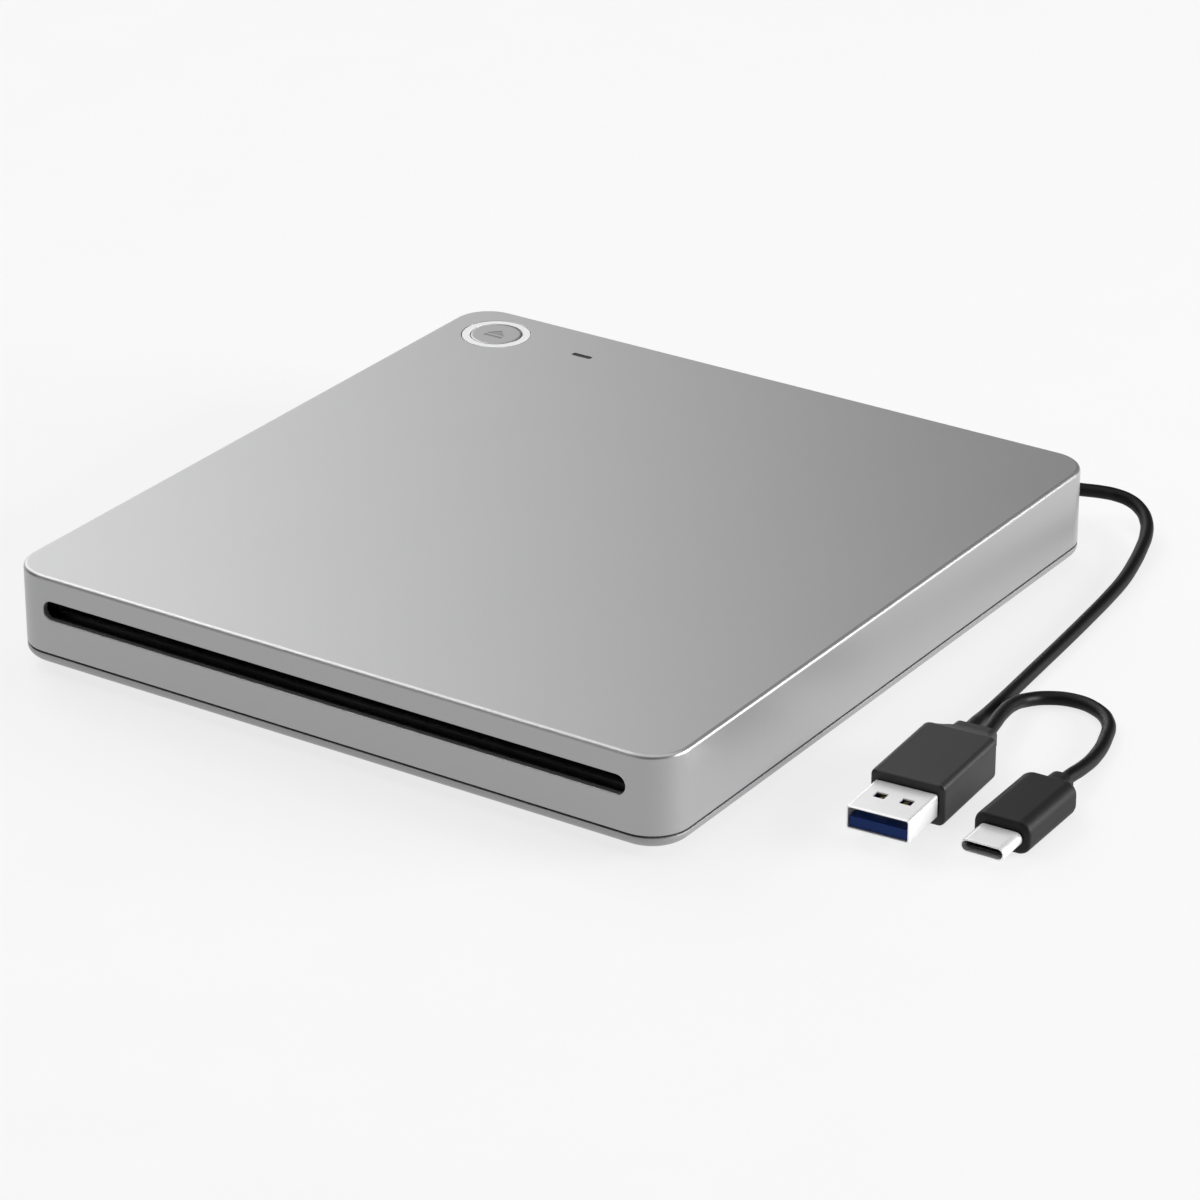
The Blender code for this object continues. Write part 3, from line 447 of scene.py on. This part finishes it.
def make_top_cover():
    edge = [(inset, HEIGHT - TOP_FILLET + down) for inset, down in arc(TOP_FILLET, 7)]
    profile = list(reversed(edge))
    profile += [(0.0, BASE_TOP + SEAM + 0.15), (0.05, BASE_TOP + SEAM + 0.05), (0.15, BASE_TOP + SEAM),
                (WALL, BASE_TOP + SEAM), (WALL, CEILING)]
    boss = CEILING + OVERLAP - LIP_TOP - GAP
    bosses = [rod(BOSS_RADIUS, (x, y, LIP_TOP + GAP), boss) for _, _, x, y in SCREWS]
    half_x, half_y = (size / 2 + LIGHT_GAP for size in LIGHT_SIZE)
    light = prism(rounded(half_x, half_y, half_y - 0.01, LIGHT, steps=8), CEILING - 1, HEIGHT + 1)
    cuts = [slot_cutter(), round_hole(RING_RADIUS + 0.1, *BUTTON, CEILING - 1), light,
            rod(CABLE_HOLE, (EXIT[0], HALF_D - WALL - 1, EXIT[1]), WALL + 2, "Y", sides=48)]
    cuts += [rod(SHANK_RADIUS + GAP, (x, y, LIP_TOP - 1), 9.0) for _, _, x, y in SCREWS]
    piece("cover_shell", loft(shell_rings(profile)), "cover", "case", ["top_cover"], cuts, bosses)


def make_base_cover():
    inside = WALL + GAP + LIP
    lower = [(BASE_SPREAD * across, FOOT_HEIGHT + BASE_ROUND * (1 - down)) for across, down in arc(1.0, 16)]
    profile = [(inside, FLOOR), (inside, LIP_TOP), (WALL + GAP, LIP_TOP), (WALL + GAP, BASE_TOP),
               (0.1, BASE_TOP), (0.03, BASE_TOP - 0.03), (0.0, BASE_TOP - 0.1)]
    root = FLOOR - OVERLAP
    posts = [rod(BOSS_RADIUS, (x, y, root), LIP_TOP - root) for _, _, x, y in SCREWS]
    posts += [rod(2.5, (x, y, root), 1.3) for x, y in DRIVE_SCREWS]
    posts += [rod(2.0, (x, y, root), 3.3) for x, y in BOARD_POSTS]
    cuts = [block((EXIT[0] - 5, HALF_D - 4, BASE_TOP), (EXIT[0] + 5, HALF_D - WALL - 0.1, LIP_TOP + 1))]
    for _, _, x, y in SCREWS:
        cuts.append(rod(SHANK_RADIUS + GAP, (x, y, 0), LIP_TOP + 1))
        cuts.append(rod(HEAD_RADIUS + 0.2, (x, y, 0), HEAD_Z[1] + 0.1, sides=48))
    cuts += [rod(FOOT_RADIUS + GAP, (x, y, 0), FOOT_HEIGHT + 0.6, sides=96) for _, _, x, y in FEET]
    cuts += [rod(SHANK_RADIUS + GAP, (x, y, FOOT_HEIGHT + 0.6), 5.0) for x, y in DRIVE_SCREWS]
    piece("base_shell", loft(shell_rings(profile + lower)), "base", "case", ["base_cover"], cuts, posts)


def make_feet():
    for row, side, x, y in FEET:
        profile = [(3.2, 0.12), (3.4, 0.0), (FOOT_RADIUS - 0.45, 0.0), (FOOT_RADIUS - 0.2, 0.06),
                   (FOOT_RADIUS - 0.06, 0.2), (FOOT_RADIUS, 0.45), (FOOT_RADIUS, FOOT_HEIGHT + GAP)]
        piece(f"pad_{row}_{side}", turned(profile, (x, y, 0), sides=64), "feet", "case",
              [f"foot_{row}_{side}"])


def make_case_screws():
    for row, side, x, y in SCREWS:
        face = HEAD_Z[0]
        profile = [(1.15, face), (1.45, face + 0.06), (HEAD_RADIUS, face + 0.3), (HEAD_RADIUS, face + 0.7),
                   (SHANK_RADIUS, face + 0.7)]
        height = face + 0.9
        while height < THREAD_END:
            profile += [(SHANK_RADIUS, height), (SHANK_RADIUS - 0.18, height + THREAD_PITCH / 2)]
            height += THREAD_PITCH
        profile += [(SHANK_RADIUS - 0.2, THREAD_END + 0.3), (0.35, THREAD_END + 0.9)]
        arms = []
        for a, b in ((1.0, 0.2), (0.2, 1.0)):
            outline = [(-a, -b), (a, -b), (a, b), (-a, b)]
            arms.append(loft([[(x + u, y + v, face - 0.5) for u, v in outline],
                              [(x + u, y + v, face + 0.1) for u, v in outline],
                              [(x + 0.6 * u, y + 0.6 * v, face + 0.48) for u, v in outline]]))
        piece(f"fixing_{row}_{side}", turned(profile, (x, y, 0), sides=32), "screws", "case",
              [f"case_screw_{row}_{side}"], arms)


def make_felt():
    """Two flocked strips behind the slot, with short fibres standing into it."""
    rng = random.Random(7)
    front = -HALF_D + WALL + GAP
    half = SLOT_WIDTH / 2 + 0.5
    profile = [(0.0, 0.25), (0.08, 0.08), (0.25, 0.0), (0.95, 0.0), (1.12, 0.08), (1.2, 0.25), (1.2, 2.0),
               (0.0, 2.0)]
    for name, away in (("upper", 1), ("lower", -1)):
        edge = SLOT_Z + away * (SLOT_HEIGHT / 2 + 0.1)
        rings = []
        stations = 64
        for i in range(stations + 1):
            x = -half + i * 2 * half / stations
            wave = 0.03 * rng.random()
            rings.append([(x, front + y, edge + away * (z + wave)) for y, z in profile])
        bm = loft(rings)
        for _ in range(FIBRES):
            x = rng.uniform(-half + 0.2, half - 0.2)
            y = front + rng.uniform(0.15, 1.05)
            length = rng.uniform(0.15, 0.5)
            lean = Vector((rng.uniform(-0.18, 0.18), rng.uniform(-0.18, 0.18), -away * length))
            root = Vector((x, y, edge + away * 0.12))
            wide = Vector((0.045, 0.0, 0.0))
            deep = Vector((0.0, 0.045, 0.0))
            corners = [bm.verts.new(root + wide), bm.verts.new(root - wide), bm.verts.new(root + deep)]
            tip = bm.verts.new(root + lean)
            for a, b in ((0, 1), (1, 2), (2, 0)):
                bm.faces.new((corners[a], corners[b], tip))
            bm.faces.new(corners)
        piece(f"felt_{name}", bm, "felt", "case", [f"{name}_felt_strip"])


# ---------------------------------------------------------------- eject button and light

def make_button():
    x, y = BUTTON
    low, high = FLANGE_Z
    ring = turned([(8.2, low), (8.2, high), (RING_RADIUS, high), (RING_RADIUS, HEIGHT - 0.15),
                   (RING_RADIUS - 0.05, HEIGHT - 0.04), (RING_RADIUS - 0.16, HEIGHT)], (x, y, 0), sides=128)
    bore = turned([(RING_INNER, 16.0), (RING_INNER, HEIGHT - 0.14), (RING_INNER + 0.05, HEIGHT - 0.04),
                   (RING_INNER + 0.15, HEIGHT), (RING_INNER + 0.5, HEIGHT + 0.3)], (x, y, 0), sides=128)
    piece("light_ring", ring, "ring", "case", ["button_ring"], [bore])
    cap = turned([(1.8, 15.3), (1.8, 18.2), (BUTTON_RADIUS, 18.2), (BUTTON_RADIUS, HEIGHT - 0.25),
                  (BUTTON_RADIUS - 0.06, HEIGHT - 0.1), (BUTTON_RADIUS - 0.22, HEIGHT - 0.02),
                  (BUTTON_RADIUS - 0.5, HEIGHT)], (x, y, 0), sides=128)
    wings = block((x - 6.6, y - 1.5, 16.4), (x + 6.6, y + 1.5, 17.1))
    deep = HEIGHT - 0.06
    triangle = prism([(x - 2.1, y - 0.3), (x + 2.1, y - 0.3), (x, y + 2.0)], deep, HEIGHT + 1)
    bar = block((x - 2.1, y - 1.65, deep), (x + 2.1, y - 0.9, HEIGHT + 1))
    button = piece("button_cap", cap, "cap", "button", ["eject_button"], [triangle, bar], [wings])
    button.data.materials.append(look("recess"))
    for face in button.data.polygons:
        if abs(face.center.z - deep * MM) < 0.00001 and face.normal.z > 0.9:
            face.material_index = 1


def make_light():
    x, y = LIGHT
    half_x, half_y = LIGHT_SIZE[0] / 2, LIGHT_SIZE[1] / 2
    rings = []
    for inset, z in ((0.0, 8.8), (0.0, HEIGHT - 0.2), (0.03, HEIGHT - 0.13), (0.1, HEIGHT - 0.1)):
        outline = rounded(half_x - inset, half_y - inset, half_y - inset - 0.01, LIGHT, steps=8)
        rings.append([(u, v, z) for u, v in outline])
    flange = block((x - 3.2, y - 1.6, FLANGE_Z[0]), (x + 3.2, y + 1.6, FLANGE_Z[1]))
    piece("light_guide", loft(rings), "smoked", "case", ["light_pipe"], (), [flange])


# ---------------------------------------------------------------- lead

def cord_curve(name, route):
    """A round cord through the route's points, as one smooth open spline."""
    curve = bpy.data.curves.new(name, "CURVE")
    curve.dimensions = "3D"
    curve.bevel_depth = CORD_DIAMETER / 2
    curve.bevel_resolution = 6
    curve.resolution_u = 8
    curve.use_fill_caps = True
    spline = curve.splines.new("BEZIER")
    spline.bezier_points.add(len(route) - 1)
    for point, place in zip(spline.bezier_points, route):
        point.co = place
        point.handle_left_type = "AUTO"
        point.handle_right_type = "AUTO"
    curve.materials.append(look("jacket"))
    obj = bpy.data.objects.new(name, curve)
    bpy.context.scene.collection.objects.link(obj)
    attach(obj, "case")
    return obj


def make_boot():
    x, z = EXIT
    profile = [(3.6, 71.3), (3.6, 73.4), (2.3, 73.4), (2.3, 75.3), (2.95, 75.3), (3.1, 75.42), (3.1, 76.05),
               (2.98, 76.2), (2.55, 76.35)]
    ribs = 5
    for i in range(ribs):
        start = 76.6 + i * 0.78
        big = 2.5 - 0.10 * i
        profile += [(big, start), (big, start + 0.4), (big - 0.26, start + 0.48), (big - 0.26, start + 0.7)]
    profile += [(1.98, 80.6), (1.95, 80.85), (1.8, 81.0)]
    return piece("strain_relief", turned(profile, (x, 0, z), "Y", sides=48), "boot", "case", ["cable_boot"])


def section(half_x, half_z, radius, y, middle, steps=10):
    return [(x, y, middle + up) for x, up in rounded(half_x, half_z, radius, steps=steps)]


def make_usb_a():
    middle = PLUG_A[2]
    body = [(6.35, 3.2, 0.8, -11.4), (6.8, 3.7, 1.0, -11.32), (7.02, 3.92, 1.1, -11.1), (7.1, 4.0, 1.15, -10.7),
            (7.1, 4.0, 1.15, 8.9), (7.02, 3.94, 1.15, 9.3), (6.8, 3.78, 1.15, 9.75), (6.4, 3.5, 1.1, 10.2),
            (5.4, 2.95, 1.2, 11.7), (4.7, 2.6, 1.2, 12.9), (4.35, 2.3, 1.2, 13.6), (4.15, 2.12, 1.2, 14.6),
            (4.1, 2.1, 1.2, 15.9), (3.9, 1.9, 1.1, 16.2)]
    housing = piece("plug_a_body", loft([section(a, b, r, y, middle) for a, b, r, y in body]), "black", "case",
                    ["usb_a_housing"], plug=PLUG_A)
    edge = ((0.12, -22.6), (0.03, -22.5), (0.0, -22.3), (0.0, -11.7))
    outer = [section(6.0 - inset, 2.25 - inset, 0.5, y, middle, 6) for inset, y in edge]
    hollow = loft([section(5.7, 1.95, 0.35, y, middle, 6) for y in (-24.0, -12.1)])
    windows = []
    for x in (-2.5, 2.5):
        for low, high in ((middle, middle + 4), (middle - 4, middle - 1.85)):
            windows.append(block((x - 1.15, -17.6, low), (x + 1.15, -15.6, high)))
    shell = piece("plug_a_shell", loft(outer), "nickel", "case", ["usb_a_shell"], [hollow] + windows,
                  plug=PLUG_A)
    tongue = block((-5.5, -22.2, middle - 1.75), (5.5, -12.4, middle + 0.15))
    tongue = piece("plug_a_tongue", tongue, "blue", "case", ["usb_a_tongue"], plug=PLUG_A)
    pads = []
    for x, half in ((-3.5, 0.55), (-1.0, 0.45), (1.0, 0.45), (3.5, 0.55)):
        bm = block((x - half, -19.6, middle + 0.14), (x + half, -13.0, middle + 0.22))
        pads.append(piece(f"plug_a_contact_{len(pads)}", bm, "gold", "case", plug=PLUG_A))
    return [housing, shell, tongue] + pads


def make_usb_c():
    middle = PLUG_C[2]
    body = [(4.55, 2.35, 1.9, -10.0), (5.0, 2.8, 2.1, -9.9), (5.28, 3.08, 2.2, -9.6), (5.4, 3.2, 2.3, -9.2),
            (5.4, 3.2, 2.3, 7.0), (5.3, 3.12, 2.25, 7.5), (5.05, 2.95, 2.1, 7.95), (4.5, 2.7, 2.0, 8.3),
            (3.2, 2.3, 1.9, 8.8), (2.65, 2.12, 1.85, 9.2), (2.4, 1.98, 1.8, 10.2), (2.3, 1.9, 1.7, 12.3),
            (2.15, 1.75, 1.6, 12.6)]
    # The USB-C housing takes the darker copy of the black plastic: painted shade against the overhead highlight on
    # its rounded top.
    housing = piece("plug_c_body", loft([section(a, b, r, y, middle) for a, b, r, y in body]), "dark", "case",
                    ["usb_c_housing"], plug=PLUG_C)
    outer = [section(4.17 - i, 1.28 - i, 1.27 - i, y, middle, 12)
             for i, y in ((0.16, -16.9), (0.05, -16.82), (0.0, -16.6), (0.0, -10.3))]
    hollow = loft([section(3.87, 0.98, 0.97, y, middle, 12) for y in (-18.0, -10.8)])
    shell = piece("plug_c_shell", loft(outer), "nickel", "case", ["usb_c_shell"], [hollow], plug=PLUG_C)
    liner = loft([section(3.6, 0.7, 0.69, y, middle, 8) for y in (-15.6, -11.1)])
    mouth = loft([section(3.3, 0.38, 0.37, y, middle, 8) for y in (-16.5, -12.2)])
    insert = piece("plug_c_liner", liner, "black", "case", ["usb_c_insert"], [mouth], plug=PLUG_C)
    return [housing, shell, insert]


def make_lead():
    boot = make_boot()
    plug_a = make_usb_a()
    plug_c = make_usb_c()
    main = cord_curve("main_cord", CABLE_ROUTE)
    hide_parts("usb_cable")
    branch = cord_curve("branch_cord", BRANCH_ROUTE)
    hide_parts("usb_c_lead")


# ---------------------------------------------------------------- inside: boards, turntable, sled and lid

def chip(name, low, high, bottom, top):
    """A moulded chip with a row of bent leads along two sides."""
    middle = (bottom + top) / 2
    rings = []
    for inset, z in ((0.12, bottom + 0.1), (0.0, middle), (0.0, middle + 0.05), (0.12, top)):
        rings.append([(low[0] + inset, low[1] + inset, z), (high[0] - inset, low[1] + inset, z),
                      (high[0] - inset, high[1] - inset, z), (low[0] + inset, high[1] - inset, z)])
    piece(name, loft(rings), "black", "case")
    rows = bmesh.new()
    count = int((high[0] - low[0] - 0.6) / LEAD_PITCH)
    start = (low[0] + high[0]) / 2 - (count - 1) * LEAD_PITCH / 2
    for i in range(count):
        for edge, out in ((low[1], -1), (high[1], 1)):
            bend = ((-0.2, middle + 0.1), (0.35, middle + 0.1), (0.55, bottom), (0.95, bottom),
                    (0.95, bottom + 0.12), (0.62, bottom + 0.12), (0.42, middle + 0.22), (-0.2, middle + 0.22))
            profile = [(edge + across * out, z) for across, z in bend]
            x = start + LEAD_PITCH * i
            add_prism_along_x(rows, profile, x - 0.16, x + 0.16)
    piece(f"{name}_leads", rows, "nickel", "case")


def add_prism_along_x(bm, profile, left, right):
    """Adds a solid with the (y, z) profile between two x values to a bmesh."""
    ends = [[bm.verts.new((x, y, z)) for y, z in profile] for x in (left, right)]
    count = len(profile)
    for i in range(count):
        j = (i + 1) % count
        bm.faces.new((ends[0][i], ends[0][j], ends[1][j], ends[1][i]))
    bm.faces.new(ends[0])
    bm.faces.new(ends[1])


def chip_parts(name, spots, bottom):
    """Small two-ended components standing on a board at (x, y, along x or not)."""
    bodies = bmesh.new()
    ends = bmesh.new()
    for x, y, lengthwise in spots:
        half_x, half_y = (0.8, 0.4) if lengthwise else (0.4, 0.8)
        add_prism_along_x(bodies, [(y - half_y, bottom), (y + half_y, bottom), (y + half_y, bottom + 0.6),
                                   (y - half_y, bottom + 0.6)], x - half_x, x + half_x)
        for side in (-1, 1):
            cx, cy = (x + side * 0.66, y) if lengthwise else (x, y + side * 0.66)
            u, v = (0.2, 0.44) if lengthwise else (0.44, 0.2)
            add_prism_along_x(ends, [(cy - v, bottom), (cy + v, bottom), (cy + v, bottom + 0.64),
                                     (cy - v, bottom + 0.64)], cx - u, cx + u)
    piece(f"{name}_parts", bodies, "grey", "case")
    piece(f"{name}_part_ends", ends, "nickel", "case")


def socket(name, low, high, bottom, top, keys):
    """A board connector: a moulded block with a row of small openings along its top."""
    shape = block((*low, bottom), (*high, top))
    cuts = [block((low[0] + 0.4, low[1] + 0.6, top - 0.25), (high[0] - 0.4, low[1] + 1.1, top + 1))]
    pitch = (high[0] - low[0]) / (keys + 1)
    for i in range(keys):
        x = low[0] + (i + 1) * pitch
        cuts.append(block((x - 0.2 * pitch, high[1] - 1.0, top - 0.5), (x + 0.2 * pitch, high[1] - 0.4, top + 1)))
    return piece(name, shape, "white", "case", cuts=cuts)


def make_boards():
    """The drive's own board at its left and the bridge board behind it, with their components."""
    plate = prism(rounded(12.25, 18.0, 1.0, (-48.75, 32.0), steps=4), 5.3, DRIVE_BOARD_TOP)
    holes = [rod(0.8, (x, y, 4.0), 4.0, sides=24) for x, y in ((-59.0, 16.2), (-38.6, 47.8))]
    piece("drive_board", plate, "board", "case", ["main_board"], holes)
    chip("drive_chip_large", (-57, 28), (-45, 40), DRIVE_BOARD_TOP, 7.4)
    chip("drive_chip_small", (-58, 18), (-51, 24), DRIVE_BOARD_TOP, 7.2)
    spots = [(-48.0 + 1.9 * i, 17.2, False) for i in range(5)] + [(-42.0, 27.0 + 2.2 * i, True) for i in range(6)]
    spots += [(-39.2, 27.0 + 2.2 * i, True) for i in range(6)]
    chip_parts("drive_board", spots, DRIVE_BOARD_TOP)
    socket("ribbon_socket_drive", (-54.4, 41.8), (-44.6, 45.4), DRIVE_BOARD_TOP, 7.4, 12)

    plate = prism(rounded(65.5, 5.05, 0.8, (0.0, 65.35), steps=4), 6.0, BOARD_TOP)
    holes = [rod(1.0, (x, y, 5.0), 3.0, sides=24) for x, y in BOARD_POSTS]
    piece("rear_board", plate, "board", "case", ["bridge_board"], holes)
    chip("bridge_chip_large", (-20, 62), (-10, 69), BOARD_TOP, 7.9)
    chip("bridge_chip_small", (4, 63.5), (9, 68.5), BOARD_TOP, 7.7)
    can = prism(rounded(7.0, 2.5, 0.6, (27.0, 64.5), steps=4), BOARD_TOP, 9.5)
    piece("bridge_shield", can, "sheet", "case")
    spots = [(-30.0 + 2.0 * i, 63.2, False) for i in range(4)] + [(-4.0 + 2.0 * i, 64.0, False) for i in range(3)]
    spots += [(12.5 + 2.0 * i, 66.4, False) for i in range(3)] + [(38.0 + 2.4 * i, 64.6, True) for i in range(4)]
    chip_parts("rear_board", spots, BOARD_TOP)
    socket("ribbon_socket_rear", (-54.4, 63.2), (-44.6, 66.2), BOARD_TOP, 8.1, 12)
    plug = socket("lead_socket", (EXIT[0] - 5, 61.6), (EXIT[0] + 5, 67.4), BOARD_TOP, 10.8, 4)
    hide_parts("cable_connector")


def make_turntable():
    """The disc's table with a rubber ring, and the hub with three sprung claws."""
    x, y = SPINDLE
    table = turned([(11.2, 4.4), (11.2, 7.6), (13.9, 8.56), (14.0, 8.7), (14.0, 9.35), (13.85, 9.45), (13.5, 9.45),
                    (13.5, 9.1), (11.0, 9.1), (11.0, 9.45), (7.0, 9.45)], (x, y, 0), sides=96)
    hollow = turned([(10.2, 3.0), (10.2, 7.0)], (x, y, 0), sides=64)
    piece("disc_table", table, "grey", "platter", ["turntable"], [hollow])
    profile = [(13.4, 9.05), (13.4, 9.45), (13.2, 9.55), (11.3, 9.55), (11.1, 9.45), (11.1, 9.05)]
    piece("disc_table_rubber", turned(profile, (x, y, 0), sides=96), "feet", "platter")
    hub = turned([(7.4, 9.3), (7.4, 10.6), (6.5, 11.38), (6.2, 11.45), (4.9, 11.45), (4.6, 11.1), (2.0, 11.1),
                  (1.9, 11.38), (1.7, 11.44)], (x, y, 0), sides=96)
    bearings = [math.radians(90 + 120 * turn) for turn in range(3)]
    gaps = [turned_block(5.6, 9.0, 1.3, 9.9, 12.0, bearing) for bearing in bearings]
    piece("disc_hub", hub, "white", "platter", cuts=gaps)
    for number, bearing in enumerate(bearings, 1):
        claw = turned_block(5.7, 7.35, 1.05, 9.9, 11.1, bearing, nose=0.5)
        piece(f"hub_claw_{number}", claw, "black", "platter")


def turned_block(inner, outer, half, bottom, top, bearing, nose=0.0):
    """A block reaching outwards from the spindle, its outer end sloped by nose."""
    profile = [(inner, bottom), (outer - nose, bottom), (outer, bottom + 0.6 * nose), (outer - nose, top),
               (inner, top)]
    rings = []
    for side in (-half, half):
        rings.append([
            (SPINDLE[0] + r * math.cos(bearing) - side * math.sin(bearing),
             SPINDLE[1] + r * math.sin(bearing) + side * math.cos(bearing), z)
            for r, z in profile
        ])
    return loft(rings)


def make_sled():
    """The die-cast carriage on its two rods, with the lens unit's black cover let into its top."""
    outline = [(-20.5, 7.5), (20.5, 7.5), (22, 9), (22, 21.7), (20.5, 23.2), (13, 23.2), (12, 22.4), (-12, 22.4),
               (-13, 23.2), (-20.5, 23.2), (-22, 21.7), (-22, 9)]
    inner = [(x * 0.985, 15.35 + (y - 15.35) * 0.97) for x, y in outline]
    body = loft([[(x, y, z) for x, y in shape]
                 for shape, z in ((inner, 5.2), (outline, 5.45), (outline, 8.1), (inner, 8.4))])
    nut = block((21.5, 10, 4.7), (28.9, 16, 7.7))
    cuts = [rod(ROD_RADIUS + RUNNING, (side * ROD_X, 0, ROD_Z), 40, "Y") for side in (-1, 1)]
    cuts += [rod(1.45, (SCREW_LINE[0], 0, SCREW_LINE[1]), 40, "Y"), rod(2.9, (0, LENS_Y, 6.6), 4),
             prism(rounded(9.2, 4.4, 1.0, (0.0, LENS_Y - 0.6), steps=4), 7.6, 9),
             block((-14, 9.2, 7.8), (-5, 12.2, 9)), block((6, 9.2, 7.8), (14, 12.2, 9))]
    piece("sled_carriage", body, "sheet", "sled", ["pickup_sled"], cuts, [nut])
    cover = prism(rounded(8.9, 4.1, 0.8, (0.0, LENS_Y - 0.6), steps=4), 7.5, 8.35)
    around = turned([(2.55, 6.0), (2.55, 8.1), (2.9, 8.5)], (0, LENS_Y, 0), sides=64)
    slits = [block((x - 0.5, LENS_Y - 3.6, 8.1), (x + 0.5, LENS_Y + 2.4, 9)) for x in (-6.3, 6.3)]
    piece("lens_cover", cover, "black", "sled", cuts=[around] + slits)


def motor_can(name, start, length, radius, flats, body, node):
    """A small motor lying along Y: a steel can with two flats, a round nose and a dark end cap."""
    can = [(0.4 * radius, 0.0), (0.9 * radius, 0.0), (radius, 0.25), (radius, length - 1.6)]
    can = turned(can, start, "Y", sides=96)
    nose = turned([(0.38 * radius, -0.25), (0.38 * radius, 0.5)], start, "Y", sides=48)
    cap = [(0.96 * radius, length - 1.65), (0.96 * radius, length - 0.3), (0.8 * radius, length)]
    cap = turned(cap, start, "Y", sides=96)
    x, y, z = start
    cuts = []
    for side in (-1, 1):
        near, far = sorted((z + side * flats, z + side * 2 * radius))
        cuts.append([(x - 2 * radius, y - 1, near), (x + 2 * radius, y + length + 1, far)])
    piece(f"{name}_can", can, "shaft", body, [node], [block(*cut) for cut in cuts], [nose])
    piece(f"{name}_cap", cap, "black", body, cuts=[block(*cut) for cut in cuts])


def make_rods_and_motors():
    chamfer = 0.15
    for side, name in ((-1, "left"), (1, "right")):
        profile = [(ROD_RADIUS - chamfer, 0.0), (ROD_RADIUS, chamfer), (ROD_RADIUS, ROD_LENGTH - chamfer),
                   (ROD_RADIUS - chamfer, ROD_LENGTH)]
        bar = turned(profile, (side * ROD_X, ROD_START, ROD_Z), "Y", sides=64)
        piece(f"slide_rod_{name}", bar, "shaft", "traverse", [f"guide_rod_{name}"])
    motor_can("loading_drive", LOADING_MOTOR, 15.0, 3.0, 2.5, "case", "loading_motor")
    motor_can("sled_drive", SLED_MOTOR, 13.3, 2.7, 2.3, "traverse", "sled_motor")


def make_lid():
    """The drive's top plate with pressed ribs and its hole over the hub."""
    middle = (DRIVE_BACK + DRIVE_FRONT) / 2
    outline = rounded(DRIVE_HALF - 0.2, (DRIVE_BACK - DRIVE_FRONT) / 2 - 0.2, 1.5, (0.0, middle), steps=6)
    top = PLATE_Z + SHEET
    places = [(7.0, 46.0, 4.0, (x, -4.0)) for x in (-44.0, 44.0)]
    places += [(26.0, 4.0, 3.4, (0.0, y)) for y in (-46.0, 40.0)]
    ribs = []
    for half_x, half_y, corner, centre in places:
        ribs.append(loft([
            [(x, y, z) for x, y in rounded(half_x - inset, half_y - inset, corner - inset, centre, steps=6)]
            for inset, z in ((0.0, top - 0.1), (0.0, top), (0.6, top + 0.35))
        ]))
    hole = rod(8.5, (*SPINDLE, PLATE_Z - 1), 4, sides=96)
    piece("drive_lid", prism(outline, PLATE_Z, top), "sheet", "case", ["drive_top_plate"], [hole], ribs)


# ---------------------------------------------------------------- CAD nodes that are shown as they are

CAD_LOOKS = {
    "screws": [f"drive_screw_{row}_{side}" for row in ("front", "rear") for side in ("left", "right")],
    "sheet": ["drive_chassis", "cam_slider", "traverse_frame", "left_disc_arm", "right_disc_arm"],
    "shaft": ["spindle_motor", "lead_screw"],
    "white": ["loading_gear", "loading_worm", "left_arm_roller", "right_arm_roller", "status_led"],
    "black": ["eject_switch"],
    "grey": ["switch_plunger"],
    "lens": ["objective_lens"],
    "ribbon": ["ribbon_cable"],
    "jacket": ["inner_lead"],
}


def dress_cad_nodes():
    for look_name, names in CAD_LOOKS.items():
        for name in names:
            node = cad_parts[name]
            node.data.materials.clear()
            node.data.materials.append(look(look_name))


def main():
    make_camera()
    make_studio()
    make_lead()
    make_top_cover()
    make_base_cover()
    make_feet()
    make_case_screws()
    make_felt()
    make_button()
    make_light()
    make_boards()
    make_turntable()
    make_sled()
    make_rods_and_motors()
    make_lid()
    dress_cad_nodes()


main()
